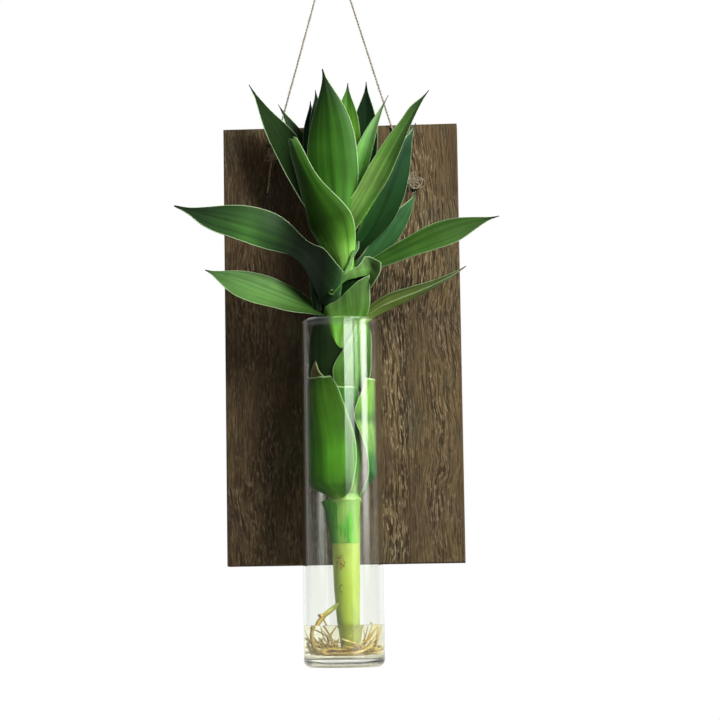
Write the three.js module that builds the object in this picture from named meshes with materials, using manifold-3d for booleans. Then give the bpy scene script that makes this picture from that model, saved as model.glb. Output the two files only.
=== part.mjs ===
// A wall-hung vase holder: a dark wooden board on a twine loop, a steel peg in the board,
// a clear glass tube hung on the peg by a hole in its back wall, and a leafy cane rooting in it.
// Millimetres. +Z is up, the front faces -Y, and the origin is the centre of the board's back face.
import * as THREE from "three";
import { mergeVertices } from "three/addons/utils/BufferGeometryUtils.js";
import Module from "manifold-3d";

const wasm = await Module();
wasm.setup();

// Board
const BOARD_WIDTH = 150;
const BOARD_HEIGHT = 280;
const BOARD_THICKNESS = 15;
const BOARD_EASED_EDGE = 0.6;

// Twine and its way through the board
const TWINE_DIAMETER = 1.2;
const TWINE_HOLE_DIAMETER = 3.4;
const TWINE_HOLE_SPACING = 94;
const TWINE_HOLE_DROP = 42.5;
const TWINE_GROOVE_WIDTH = 2.4;
const TWINE_GROOVE_DEPTH = 2;
const TWINE_BEND_RADIUS = 2.4;
const KNOT_DIAMETER = 4.4;
const KNOT_LENGTH = 5;

// Glass tube
const VASE_DIAMETER = 50;
const VASE_HEIGHT = 215;
const VASE_WALL = 2.5;
const VASE_BASE = 5;
const VASE_FOOT_RADIUS = 5;
const VASE_INNER_CORNER = 3;
const VASE_LIP_BEAD = 0.5;
const VASE_RIM_ABOVE_BOARD_CENTRE = 11.5;
const VASE_HOLE_DIAMETER = 6.4;
const VASE_HOLE_BELOW_RIM = 13;

// Peg
const PEG_DIAMETER = 4;
const PEG_TILT_DEGREES = 15;
const PEG_SEAT = 11;
const PEG_REACH = 10.5;

// Cane, roots and leaves
const CANE_LEAN = 3;
const CANE_ABOVE_RIM = 66;
const ROOT_CROWN_HEIGHT = 6;
const ROOT_DIAMETER = 2.2;
const LEAF_THICKNESS = 0.9;

// The gap left between neighbouring pieces, and how far the glass hangs off the board
const CLEARANCE = 0.3;
const VASE_OFF_BOARD = 0.5;

// Numbers of facets
const GLASS_SIDES = 48;
const ROUND_SIDES = 16;
const CORD_SIDES = 8;
const LEAF_STEPS = 11;
const LEAF_STRIPS = 4;

// Places that follow from the sizes
const boardFront = -BOARD_THICKNESS;
const holeHeight = BOARD_HEIGHT / 2 - TWINE_HOLE_DROP;
const holeX = TWINE_HOLE_SPACING / 2;
const twineFace = boardFront - CLEARANCE - TWINE_DIAMETER / 2;
const vaseRadius = VASE_DIAMETER / 2;
const boreRadius = vaseRadius - VASE_WALL;
const vaseFloor = VASE_BASE - VASE_HEIGHT;
const vaseAxisY = boardFront - VASE_OFF_BOARD - vaseRadius;
const caneFoot = vaseFloor + ROOT_CROWN_HEIGHT + 2 * CLEARANCE;
const pegTilt = THREE.MathUtils.degToRad(PEG_TILT_DEGREES);
const pegDirection = new THREE.Vector3(0, -Math.cos(pegTilt), Math.sin(pegTilt));
const pegRestOffset = (VASE_HOLE_DIAMETER - PEG_DIAMETER) / 2 - CLEARANCE;
const vaseBackWallY = vaseRadius - VASE_WALL / 2;

const materials = {
  wood: new THREE.MeshStandardMaterial({ color: 0x61513a, roughness: 0.75, metalness: 0 }),
  twine: new THREE.MeshStandardMaterial({ color: 0xa8987a, roughness: 0.95, metalness: 0 }),
  steel: new THREE.MeshStandardMaterial({ color: 0xb4b6b8, roughness: 0.35, metalness: 1 }),
  glass: new THREE.MeshStandardMaterial({
    color: 0xf2f7f2,
    roughness: 0.05,
    metalness: 0,
    transparent: true,
    opacity: 0.3,
  }),
  cane: new THREE.MeshStandardMaterial({ color: 0xb9d16a, roughness: 0.45, metalness: 0 }),
  root: new THREE.MeshStandardMaterial({ color: 0xb98f4a, roughness: 0.7, metalness: 0 }),
  leaf: new THREE.MeshStandardMaterial({ color: 0x3f7424, roughness: 0.4, metalness: 0 }),
};

function vector(x, y, z) {
  return new THREE.Vector3(x, y, z);
}

// A closed geometry as a solid for cutting and joining, faces turned outwards
function solidOf(geometry) {
  const bare = geometry.clone();
  bare.deleteAttribute("normal");
  bare.deleteAttribute("uv");
  const merged = mergeVertices(bare, 1e-4);
  const vertProperties = new Float32Array(merged.attributes.position.array);
  const triVerts = new Uint32Array(merged.index.array);
  const make = () => new wasm.Manifold(new wasm.Mesh({ numProp: 3, vertProperties, triVerts }));
  const made = make();
  if (made.volume() > 0) return made;
  for (let i = 0; i < triVerts.length; i += 3) {
    [triVerts[i + 1], triVerts[i + 2]] = [triVerts[i + 2], triVerts[i + 1]];
  }
  return make();
}

function geometryOf(solid) {
  const mesh = solid.getMesh();
  const geometry = new THREE.BufferGeometry();
  geometry.setAttribute("position", new THREE.BufferAttribute(mesh.vertProperties, 3));
  geometry.setIndex(new THREE.BufferAttribute(mesh.triVerts, 1));
  geometry.computeVertexNormals();
  return geometry;
}

function largestPiece(solid) {
  const pieces = solid.decompose();
  return pieces.reduce((best, piece) => (piece.volume() > best.volume() ? piece : best));
}

function meshOf(name, solid, material) {
  const mesh = new THREE.Mesh(geometryOf(solid), material);
  mesh.name = name;
  return mesh;
}

// A closed skin over rings of equally many points; ring point i faces point n - 1 - i in the end caps
function loft(rings) {
  const count = rings[0].length;
  const last = (rings.length - 1) * count;
  const index = [];
  for (let r = 0; r + 1 < rings.length; r++) {
    for (let i = 0; i < count; i++) {
      const a = r * count + i;
      const b = r * count + ((i + 1) % count);
      index.push(a, b, a + count, b, b + count, a + count);
    }
  }
  for (let i = 0; i + 1 < count / 2; i++) {
    const across = count - 1 - i;
    index.push(i, across, i + 1, i + 1, across, across - 1);
    index.push(last + i, last + i + 1, last + across, last + i + 1, last + across - 1, last + across);
  }
  const positions = rings.flat().flatMap((point) => point.toArray());
  const geometry = new THREE.BufferGeometry();
  geometry.setAttribute("position", new THREE.Float32BufferAttribute(positions, 3));
  geometry.setIndex(index);
  return geometry;
}

function regularSection(diameter, sides) {
  const points = Array.from({ length: sides }, (_, i) => {
    const angle = ((i + 0.5) / sides) * 2 * Math.PI;
    return new THREE.Vector2(Math.cos(angle), Math.sin(angle)).multiplyScalar(diameter / 2);
  });
  return new THREE.Shape(points);
}

function tube(points, diameter, sides, steps) {
  const path = new THREE.CatmullRomCurve3(points, false, "centripetal");
  return new THREE.ExtrudeGeometry(regularSection(diameter, sides), {
    extrudePath: path,
    steps,
    bevelEnabled: false,
  });
}

function arc(centre, radius, from, to, count) {
  return Array.from({ length: count + 1 }, (_, i) => {
    const angle = THREE.MathUtils.lerp(from, to, i / count);
    return new THREE.Vector2(Math.cos(angle), Math.sin(angle)).multiplyScalar(radius).add(centre);
  });
}

// A cylinder along a direction, reaching before and after a point on its axis
function rod(diameter, point, direction, before, after) {
  const geometry = new THREE.CylinderGeometry(diameter / 2, diameter / 2, before + after, ROUND_SIDES);
  geometry.translate(0, (after - before) / 2, 0);
  geometry.applyQuaternion(new THREE.Quaternion().setFromUnitVectors(vector(0, 1, 0), direction));
  geometry.translate(point.x, point.y, point.z);
  return geometry;
}

// Where the peg's axis meets the glass, and the board's front
const vaseHoleHeight = VASE_RIM_ABOVE_BOARD_CENTRE - VASE_HOLE_BELOW_RIM;
const pegAtGlass = vector(0, vaseAxisY + vaseBackWallY, vaseHoleHeight + pegRestOffset);
const pegAtBoard = pegAtGlass
  .clone()
  .addScaledVector(pegDirection, (boardFront - pegAtGlass.y) / pegDirection.y);

function makeBoard() {
  const inset = BOARD_EASED_EDGE;
  const width = BOARD_WIDTH - 2 * inset;
  const height = BOARD_HEIGHT - 2 * inset;
  const outline = new THREE.Shape([
    new THREE.Vector2(-width / 2, -height / 2),
    new THREE.Vector2(width / 2, -height / 2),
    new THREE.Vector2(width / 2, height / 2),
    new THREE.Vector2(-width / 2, height / 2),
  ]);
  const plank = new THREE.ExtrudeGeometry(outline, {
    depth: BOARD_THICKNESS - 2 * inset,
    bevelEnabled: true,
    bevelSize: inset,
    bevelThickness: inset,
    bevelSegments: 1,
  });
  plank.translate(0, 0, inset);
  plank.rotateX(Math.PI / 2);
  let solid = solidOf(plank);
  const through = vector(0, -1, 0);
  for (const side of [-1, 1]) {
    const mouth = vector(side * holeX, 0, holeHeight);
    solid = solid.subtract(solidOf(rod(TWINE_HOLE_DIAMETER, mouth, through, 1, BOARD_THICKNESS + 1)));
  }
  const groove = new THREE.BoxGeometry(TWINE_HOLE_SPACING, 2 * TWINE_GROOVE_DEPTH, TWINE_GROOVE_WIDTH);
  groove.translate(0, 0, holeHeight);
  const seatHole = rod(
    PEG_DIAMETER + 2 * CLEARANCE,
    pegAtBoard,
    pegDirection,
    PEG_SEAT + CLEARANCE,
    PEG_REACH,
  );
  return meshOf("board", solid.subtract(solidOf(groove)).subtract(solidOf(seatHole)), materials.wood);
}

function makePeg() {
  const radius = PEG_DIAMETER / 2;
  const profile = [
    new THREE.Vector2(0, -PEG_SEAT),
    new THREE.Vector2(radius, -PEG_SEAT),
    ...arc(new THREE.Vector2(radius / 2, PEG_REACH - radius / 2), radius / 2, 0, Math.PI / 2, 3),
    new THREE.Vector2(0, PEG_REACH),
  ];
  const geometry = new THREE.LatheGeometry(profile, ROUND_SIDES);
  const mesh = meshOf("vase_peg", solidOf(geometry), materials.steel);
  mesh.position.copy(pegAtBoard);
  mesh.quaternion.setFromUnitVectors(vector(0, 1, 0), pegDirection);
  return mesh;
}

// The twine's centreline from hole to hole over its hanging point, x and z on the board's front
const TWINE_LEFT_LEG = [
  [-46.4, 100.5],
  [-43.3, 121.8],
  [-37.7, 141.8],
  [-26, 183],
  [-14.7, 223],
  [-8.9, 244],
];
const TWINE_TOP = [
  [-7.2, 250.2],
  [-6.2, 252.4],
  [-4.6, 253.6],
  [-2.8, 253.6],
  [-1.2, 252.5],
  [-0.1, 250.3],
];
const TWINE_RIGHT_LEG = [
  [1.8, 244],
  [8.7, 221],
  [21, 180],
  [33, 140],
  [40, 116.6],
  [44.7, 101],
];
const TWINE_STEPS = 78;

function onFace([x, z]) {
  return vector(x, twineFace, z);
}

function makeTwineLoop() {
  const points = [...TWINE_LEFT_LEG, ...TWINE_TOP, ...TWINE_RIGHT_LEG].map(onFace);
  const solid = solidOf(tube(points, TWINE_DIAMETER, CORD_SIDES, TWINE_STEPS));
  return meshOf("hanging_twine", solid, materials.twine);
}

// From the board's face through one hole, along the groove in the back and out through the other hole
function makeTwineBackRun() {
  const bend = TWINE_BEND_RADIUS;
  const backY = -TWINE_GROOVE_DEPTH + CLEARANCE + TWINE_DIAMETER / 2;
  const half = [[holeX, twineFace, holeHeight + bend]];
  for (const turn of [30, 60, 90]) {
    const angle = THREE.MathUtils.degToRad(turn);
    half.push([
      holeX,
      twineFace + bend * (1 - Math.cos(angle)),
      holeHeight + bend * (1 - Math.sin(angle)),
    ]);
  }
  half.push([holeX, (twineFace + backY) / 2, holeHeight]);
  for (const turn of [0, 30, 60, 90]) {
    const angle = THREE.MathUtils.degToRad(turn);
    half.push([holeX - bend * (1 - Math.cos(angle)), backY - bend * (1 - Math.sin(angle)), holeHeight]);
  }
  half.push([holeX / 2, backY, holeHeight]);
  const right = half.map((p) => vector(...p));
  const left = half.map(([x, y, z]) => vector(-x, y, z)).reverse();
  const points = [...right, vector(0, backY, holeHeight), ...left];
  const solid = solidOf(tube(points, TWINE_DIAMETER, CORD_SIDES, TWINE_STEPS));
  return meshOf("twine_back_run", solid, materials.twine);
}

// A knot drawn tight round the twine, between two points of its leg, flat where it lies on the board
function makeKnot(name, leg, place) {
  const bore = TWINE_DIAMETER / 2 + CLEARANCE;
  const radius = KNOT_DIAMETER / 2;
  const half = KNOT_LENGTH / 2;
  const profile = [
    new THREE.Vector2(bore, -half),
    new THREE.Vector2(radius * 0.8, -half * 0.8),
    new THREE.Vector2(radius, -half * 0.4),
    new THREE.Vector2(radius * 0.78, 0),
    new THREE.Vector2(radius, half * 0.4),
    new THREE.Vector2(radius * 0.8, half * 0.8),
    new THREE.Vector2(bore, half),
    new THREE.Vector2(bore, -half),
  ];
  const [from, to] = leg.map(onFace);
  const geometry = new THREE.LatheGeometry(profile, ROUND_SIDES);
  const along = to.clone().sub(from).normalize();
  geometry.applyQuaternion(new THREE.Quaternion().setFromUnitVectors(vector(0, 1, 0), along));
  const seat = new THREE.BoxGeometry(4 * KNOT_DIAMETER, KNOT_DIAMETER, 4 * KNOT_LENGTH);
  seat.translate(0, boardFront - CLEARANCE / 2 + KNOT_DIAMETER / 2 - twineFace, 0);
  const mesh = meshOf(name, solidOf(geometry).subtract(solidOf(seat)), materials.twine);
  mesh.position.lerpVectors(from, to, place);
  return mesh;
}

// The glass: radius against height, with the rim at height 0
function vaseProfile(grow) {
  const outer = vaseRadius + grow;
  const inner = boreRadius - grow;
  const foot = VASE_FOOT_RADIUS + grow;
  const corner = VASE_INNER_CORNER;
  const bottom = -VASE_HEIGHT - grow;
  const floor = vaseFloor + grow;
  const lip = (outer + VASE_LIP_BEAD - inner) / 2;
  return [
    new THREE.Vector2(0, bottom),
    ...arc(new THREE.Vector2(outer - foot, bottom + foot), foot, -Math.PI / 2, 0, 4),
    new THREE.Vector2(outer, -3 * lip),
    ...arc(new THREE.Vector2(inner + lip, -lip + grow), lip, 0, Math.PI, 6),
    ...arc(new THREE.Vector2(inner - corner, floor + corner), corner, 0, -Math.PI / 2, 3),
    new THREE.Vector2(0, floor),
  ];
}

function vaseSolid(grow) {
  const geometry = new THREE.LatheGeometry(vaseProfile(grow), GLASS_SIDES);
  geometry.rotateX(Math.PI / 2);
  return solidOf(geometry);
}

function makeVase() {
  const axisPoint = vector(0, vaseBackWallY, -VASE_HOLE_BELOW_RIM);
  const hole = rod(VASE_HOLE_DIAMETER, axisPoint, pegDirection, 3 * VASE_WALL, 3 * VASE_WALL);
  return meshOf("glass_vase", vaseSolid(0).subtract(solidOf(hole)), materials.glass);
}

// The cane: heights and radii, the lower ones from its foot and the others from the rim
const caneRows = [
  [caneFoot, 5.2],
  [caneFoot + 3, 6.6],
  [caneFoot + 16, 7.2],
  [-137, 9.3],
  [-116, 9.5],
  [-112.5, 10.3],
  [-109, 9.4],
  [-70, 9],
  [-30, 8.8],
  [0, 8.4],
  [30, 7.2],
  [52, 5.4],
  [CANE_ABOVE_RIM, 3],
];
const caneAxis = new THREE.CatmullRomCurve3([
  vector(CANE_LEAN, 0, caneFoot),
  vector(CANE_LEAN / 2, 0, -137),
  vector(CANE_LEAN / 3, 0, -70),
  vector(CANE_LEAN * 0.6, -0.5, 0),
  vector(CANE_LEAN * 1.2, -1.5, CANE_ABOVE_RIM),
]);

function caneCentre(height) {
  const share = (height - caneFoot) / (CANE_ABOVE_RIM - caneFoot);
  const centre = caneAxis.getPointAt(THREE.MathUtils.clamp(share, 0, 1));
  return centre.setZ(height);
}

function caneRadius(height) {
  const above = caneRows.findIndex(([rowHeight]) => rowHeight >= height);
  if (above <= 0) return caneRows.at(above)[1];
  const [lowHeight, lowRadius] = caneRows[above - 1];
  const [highHeight, highRadius] = caneRows[above];
  return THREE.MathUtils.mapLinear(height, lowHeight, highHeight, lowRadius, highRadius);
}

function caneSolid(grow) {
  const rings = caneRows.map(([height, radius], row) => {
    const end = row === 0 ? -grow : row === caneRows.length - 1 ? grow : 0;
    const centre = caneCentre(height);
    return Array.from({ length: ROUND_SIDES }, (_, i) => {
      const angle = ((i + 0.5) / ROUND_SIDES) * 2 * Math.PI;
      const across = radius + grow;
      return vector(
        centre.x + across * Math.cos(angle),
        centre.y + across * Math.sin(angle),
        height + end,
      );
    });
  });
  return solidOf(loft(rings));
}

// Roots: a crown under the cane's foot and strands that spread to the glass, from the vase's floor up
const ROOT_STRANDS = [
  [[-8, -3, 41], [-14.5, -7, 34], [-17.5, -9, 20], [-14, -12, 5], [-4, -11, 3], [2, -4, 4]],
  [[1, -2, 4], [-8, -4, 6], [-15, -2, 9], [-17, 4, 12]],
  [[2, -1, 3], [-4, -12, 2.5], [4, -17, 3], [12, -13, 5], [16, -6, 9]],
  [[4, 0, 4], [12, -2, 3], [17, -3, 10], [17.5, 0, 22]],
  [[4, 1, 3], [10, 8, 3], [14, 10, 8]],
  [[2, 1, 3], [-6, 8, 2.5], [-13, 9, 4], [-16, 6, 10]],
  [[4, -2, 3], [8, -10, 6], [6, -15, 12], [2, -17.5, 18]],
];
const ROOT_STEPS = 9;
const ROOT_SIDES = 6;

function makeRoots() {
  const crown = new THREE.SphereGeometry(1, 14, 8);
  const half = ROOT_CROWN_HEIGHT / 2;
  crown.scale(half * 1.6, half * 1.6, half);
  crown.rotateZ(0.1);
  crown.translate(CANE_LEAN, 0, half);
  let solid = solidOf(crown);
  for (const strand of ROOT_STRANDS) {
    const points = strand.map((p) => vector(...p));
    solid = solid.add(solidOf(tube(points, ROOT_DIAMETER, ROOT_SIDES, ROOT_STEPS)));
  }
  const mesh = meshOf("roots", solid, materials.root);
  mesh.position.z = vaseFloor + CLEARANCE;
  return mesh;
}

// Leaves that leave the cane: midrib points from the rim's centre, the way the upper side faces
// at the base and at the tip, blade width, width at the base, and how far the blade is cupped
const LEAVES = [
  {
    name: "leaf_front_left",
    midrib: [[3.5, -7.5, 24], [3, -18, 55], [-18, -26, 83], [-27, -21, 112]],
    face: [[0.2, 0.95, 0.2], [0.4, 0.85, 0.3]],
    width: 30, neck: 11, cup: 0.3, peak: 0.4, taper: [1, 1], tip: 0.22,
  },
  {
    name: "leaf_front_right",
    midrib: [[5, -5, 56], [26.5, -17, 84], [40, -20, 115.5], [59, -17.5, 141]],
    face: [[-0.6, -0.7, 0.4], [-0.6, -0.7, 0.4]],
    width: 14, neck: 11, cup: 0.34, peak: 0.42,
  },
  {
    name: "leaf_centre",
    midrib: [[3, -5, 50], [-3, -14, 85], [-0.5, -9, 124], [-8.5, -2, 160]],
    face: [[0, 1, 0.2], [0.1, 1, 0.2]],
    width: 30, neck: 10, cup: 0.26, peak: 0.42,
  },
  {
    name: "leaf_right_dark",
    midrib: [[8, -3, 42], [34, -9, 61], [36, -9, 90], [50, -4.5, 123]],
    face: [[-0.6, 0.7, 0.3], [-0.5, 0.8, 0.2]],
    width: 24, neck: 10, cup: 0.28, peak: 0.42,
  },
  {
    name: "leaf_right_pale",
    midrib: [[6, -1.5, 60], [12, 0, 88], [17.5, 0, 114], [33, -2, 142]],
    face: [[-0.3, -0.9, 0.3], [-0.4, -0.8, 0.3]],
    width: 13, neck: 5, cup: 0.25, peak: 0.42, taper: [2.5, 2],
  },
  {
    name: "leaf_back_bright",
    midrib: [[4, 2, 55], [6, 9, 92], [5, 9, 126], [7, 6.5, 152.5]],
    face: [[0, -1, 0.2], [0, -1, 0.2]],
    width: 18, neck: 7, cup: 0.25, peak: 0.5,
  },
  {
    name: "leaf_back_left_tall",
    midrib: [[1.5, 2, 53], [-5, 10, 92], [-12, 9, 122], [-13.7, 6.5, 148.5]],
    face: [[0.1, -1, 0.2], [0.1, -1, 0.2]],
    width: 17, neck: 7, cup: 0.22, peak: 0.5,
  },
  {
    name: "leaf_back_left_short",
    midrib: [[0, 3, 48], [-9, 14, 86], [-18, 14, 116], [-17.4, 11, 142.5]],
    face: [[0.2, -1, 0.2], [0.2, -1, 0.2]],
    width: 17, neck: 8, cup: 0.2, peak: 0.5,
  },
  {
    name: "leaf_back_dark",
    midrib: [[5.5, 3, 48], [14, 14, 88], [18, 14, 122], [18.4, 10.5, 153.7]],
    face: [[-0.1, -1, 0.2], [-0.1, -1, 0.2]],
    width: 19, neck: 8, cup: 0.2, peak: 0.5,
  },
  {
    name: "leaf_left_dark",
    midrib: [[-2, 1, 43], [-18, 9, 86], [-35, 11, 118], [-56.5, 10.5, 154]],
    face: [[0.3, -0.9, 0.3], [0.4, -0.85, 0.3]],
    width: 21, neck: 10, cup: 0.22, peak: 0.5,
  },
  {
    name: "leaf_left_thin",
    midrib: [[0.5, 4, 44], [-9, 17, 88], [-24, 17, 116], [-38.3, 14, 141.6]],
    face: [[0.3, -0.9, 0.3], [0.3, -0.9, 0.3]],
    width: 12, neck: 6, cup: 0.25, peak: 0.5,
  },
  {
    name: "leaf_right_back",
    midrib: [[8, 2, 29], [24, 8, 42], [38, 9, 60], [49.5, 7, 81.5]],
    face: [[-0.5, 0.7, 0.4], [-0.5, 0.8, 0.3]],
    width: 15, neck: 9, cup: 0.25, peak: 0.5,
  },
  {
    name: "leaf_left_long",
    midrib: [[-3, -4, 28], [-26.5, -12, 56], [-58.5, -18, 58], [-101, -19, 72]],
    face: [[0.4, -0.7, 0.6], [0.05, -0.95, 0.3]],
    width: 29, neck: 15, cup: 0.16, peak: 0.48, taper: [2.5, 2],
  },
  {
    name: "leaf_right_long",
    midrib: [[8, -2.5, 28.5], [41, -9, 39.5], [69, -17, 54.5], [101, -18, 60.5]],
    face: [[-0.3, -0.6, 0.75], [0, -0.85, 0.5]],
    width: 22, neck: 12, cup: 0.18, peak: 0.48, taper: [2.5, 2],
  },
  {
    name: "leaf_left_low",
    midrib: [[-4, -4, 4], [-29, -13, 8.5], [-56, -18, 23], [-82, -18, 31.3]],
    face: [[0.3, -0.6, 0.75], [0, -0.9, 0.45]],
    width: 24, neck: 12, cup: 0.16, peak: 0.46, taper: [2.5, 2],
  },
  {
    name: "leaf_right_low",
    midrib: [[8, -4, 1], [31, -10, 9.5], [58.5, -14, 23.5], [80, -16, 30]],
    face: [[-0.3, -0.4, 0.85], [-0.2, -0.45, 0.9]],
    width: 15, neck: 11, cup: 0.22, peak: 0.35, taper: [2.5, 2],
  },
  {
    name: "leaf_front_stub",
    midrib: [[2.5, -8.5, -18], [6, -17, -2], [11, -20, 10], [20.5, -20, 25]],
    face: [[0, 1, 0.1], [-0.1, 1, 0.1]],
    width: 25, neck: 12, cup: 0.36, peak: 0.55, taper: [1, 1], tip: 0.3,
  },
  {
    name: "leaf_front_curl",
    midrib: [[-1.5, -7, 12], [1, -20, 24], [14, -25, 40], [27, -20, 28]],
    face: [[-0.3, -0.8, 0.5], [-0.3, -0.8, 0.5]],
    width: 11, neck: 8, cup: 0.35, peak: 0.6, taper: [1, 1], tip: 0.6,
  },
];

// Cut leaves pressed towards the glass: their middle's angle round the vase, bottom and top from the
// rim, and how far they stand in from the glass
const WALL_LEAVES = [
  { name: "inner_leaf_left", angle: 247, bottom: -110, top: -35, width: 40, neck: 18, inset: 0, peak: 0.4 },
  { name: "inner_leaf_right", angle: 338, bottom: -99, top: -38, width: 20, neck: 9, inset: 0, peak: 0.5 },
  {
    name: "inner_leaf_middle",
    angle: 302, bottom: -107, top: -42, width: 24, neck: 14, inset: 5, peak: 0.6, tip: 0.7,
  },
];

// How full a blade stays and how finely its point is drawn out, the width left at the tip, and the
// share of its length in which a blade inside the vase leaves the cane for the glass
const LEAF_TAPER = [3, 2];
const LEAF_TIP = 0.03;
const WALL_LEAF_SPREAD = 0.35;

// Half the blade's width at a share of its length: a neck, a full middle and a drawn-out tip
function leafHalf(leaf, share) {
  const half = leaf.width / 2;
  if (share < leaf.peak) {
    const rise = Math.sin(((share / leaf.peak) * Math.PI) / 2) ** 2;
    return THREE.MathUtils.lerp(leaf.neck / 2, half, rise);
  }
  const [fullness, point] = leaf.taper ?? LEAF_TAPER;
  const left = (share - leaf.peak) / (1 - leaf.peak);
  const narrowed = (1 - left ** fullness) ** point;
  return half * THREE.MathUtils.lerp(leaf.tip ?? LEAF_TIP, 1, narrowed);
}

// The two sides of a blade's cross-section, lower side first, as a ring that runs round it
function bladeRing(across, lift, thick) {
  const places = Array.from({ length: LEAF_STRIPS + 1 }, (_, i) => (2 * i) / LEAF_STRIPS - 1);
  const side = (sign) => places.map((u) => lift(u, across(u), (sign * thick) / 2));
  return [...side(-1), ...side(1).reverse()];
}

function leafSolid(leaf, grow) {
  const midrib = new THREE.CubicBezierCurve3(...leaf.midrib.map((p) => vector(...p)));
  const [faceBase, faceTip] = leaf.face.map((p) => vector(...p).normalize());
  const thick = LEAF_THICKNESS + 2 * grow;
  const rings = Array.from({ length: LEAF_STEPS + 1 }, (_, step) => {
    const share = step / LEAF_STEPS;
    const along = midrib.getTangent(share);
    const end = step === 0 ? -grow : step === LEAF_STEPS ? grow : 0;
    const centre = midrib.getPoint(share).addScaledVector(along, end);
    const facing = faceBase.clone().lerp(faceTip, share);
    const normal = facing.addScaledVector(along, -facing.dot(along)).normalize();
    const sideways = normal.clone().cross(along);
    const half = leafHalf(leaf, share) + grow;
    return bladeRing(
      (u) => u * half,
      (u, x, lift) =>
        centre
          .clone()
          .addScaledVector(sideways, x)
          .addScaledVector(normal, leaf.cup * half * u * u + lift),
      thick,
    );
  });
  return solidOf(loft(rings));
}

// A blade that starts on the cane and soon lies along the inside of the glass
function wallLeafSolid(leaf, grow) {
  const thick = LEAF_THICKNESS + 2 * grow;
  const wall = boreRadius - 2 * CLEARANCE - LEAF_THICKNESS / 2 - leaf.inset;
  const middle = THREE.MathUtils.degToRad(leaf.angle);
  const rings = Array.from({ length: LEAF_STEPS + 1 }, (_, step) => {
    const share = step / LEAF_STEPS;
    const end = step === 0 ? -grow : step === LEAF_STEPS ? grow : 0;
    const height = THREE.MathUtils.lerp(leaf.bottom, leaf.top, share) + end;
    const spread = THREE.MathUtils.smoothstep(share, 0, WALL_LEAF_SPREAD);
    const cane = caneCentre(height);
    const onCane = caneRadius(height) + CLEARANCE + LEAF_THICKNESS / 2;
    const radius = THREE.MathUtils.lerp(onCane, wall, spread);
    const half = (leafHalf(leaf, share) + grow) / radius;
    return bladeRing(
      (u) => middle - u * half,
      (u, angle, lift) =>
        vector(
          cane.x * (1 - spread) + (radius + lift) * Math.cos(angle),
          cane.y * (1 - spread) + (radius + lift) * Math.sin(angle),
          height,
        ),
      thick,
    );
  });
  return solidOf(loft(rings));
}

// Each leaf gives way to the cane, to the glass and to the leaves that lie nearer the bud
function makeLeaves() {
  const keepOut = [caneSolid(CLEARANCE), vaseSolid(CLEARANCE)];
  const shapes = [
    ...LEAVES.map((leaf) => [leaf, leafSolid]),
    ...WALL_LEAVES.map((leaf) => [leaf, wallLeafSolid]),
  ];
  return shapes.map(([leaf, shape]) => {
    const cut = keepOut.reduce((solid, other) => solid.subtract(other), shape(leaf, 0));
    keepOut.push(shape(leaf, CLEARANCE));
    return meshOf(leaf.name, largestPiece(cut), materials.leaf);
  });
}

const boardGroup = new THREE.Group();
boardGroup.add(makeBoard(), makePeg(), makeTwineLoop(), makeTwineBackRun());
boardGroup.add(makeKnot("twine_join_knot", TWINE_LEFT_LEG.slice(1, 3), 0));
boardGroup.add(makeKnot("twine_stop_knot", TWINE_RIGHT_LEG.slice(-2), 0.82));

const plantGroup = new THREE.Group();
plantGroup.add(meshOf("cane", caneSolid(0), materials.cane), makeRoots(), ...makeLeaves());

const vaseGroup = new THREE.Group();
vaseGroup.position.set(0, vaseAxisY, VASE_RIM_ABOVE_BOARD_CENTRE);
vaseGroup.add(makeVase(), plantGroup);

const holder = new THREE.Group();
holder.add(boardGroup, vaseGroup);
export default holder;
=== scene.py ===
"""The looks of a wall-hung vase holder: a plank on twine, a glass tube on a peg and a leafy cane in it."""

import math

import bmesh
import bpy
import numpy as np
from mathutils import Matrix, Vector, noise


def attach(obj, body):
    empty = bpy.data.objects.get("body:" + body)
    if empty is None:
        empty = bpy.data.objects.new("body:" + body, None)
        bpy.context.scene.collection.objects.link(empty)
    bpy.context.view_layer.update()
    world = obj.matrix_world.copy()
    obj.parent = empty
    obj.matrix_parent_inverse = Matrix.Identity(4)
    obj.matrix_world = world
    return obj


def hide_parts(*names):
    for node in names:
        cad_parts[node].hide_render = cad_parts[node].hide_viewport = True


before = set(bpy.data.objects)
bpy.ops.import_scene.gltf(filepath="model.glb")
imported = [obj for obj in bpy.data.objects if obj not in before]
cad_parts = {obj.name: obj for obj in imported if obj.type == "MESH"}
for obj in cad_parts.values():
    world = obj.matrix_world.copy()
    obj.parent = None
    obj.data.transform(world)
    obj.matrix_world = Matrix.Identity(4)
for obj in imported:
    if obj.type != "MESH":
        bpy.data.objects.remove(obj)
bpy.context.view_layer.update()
scene = bpy.context.scene
scene.view_settings.view_transform = "Standard"

# Sizes in metres, as in the solids, or in millimetres where the name ends in MM
MM = 0.001
BOARD_FRONT = -0.015
VASE_AXIS_Y = -0.0405
VASE_RIM_Z = 0.0115
VASE_RADIUS = 0.025
VASE_BORE = 0.0225
VASE_HEIGHT = 0.215
VASE_BASE = 0.005
VASE_FOOT = 0.005
VASE_CORNER = 0.003
VASE_LIP = 0.0015
VASE_FLAT = 0.012
VASE_HOLLOW = 0.0006
VASE_WALL_TOP = -0.006
VASE_HOLE = 0.0032
VASE_HOLE_LENGTH = 0.015
VASE_HOLE_MM = (0, 23.75, -13)
GLASS_SIDES = 144
WATER_DEPTH = 0.0205
WATER_OVERLAP = 0.00008
WATER_RISE = 0.0003
TWINE_DIAMETER = 0.0012
TWINE_FACE = -0.0159
TWINE_PITCH = 0.0042
TWINE_STEP = 0.0004
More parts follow.
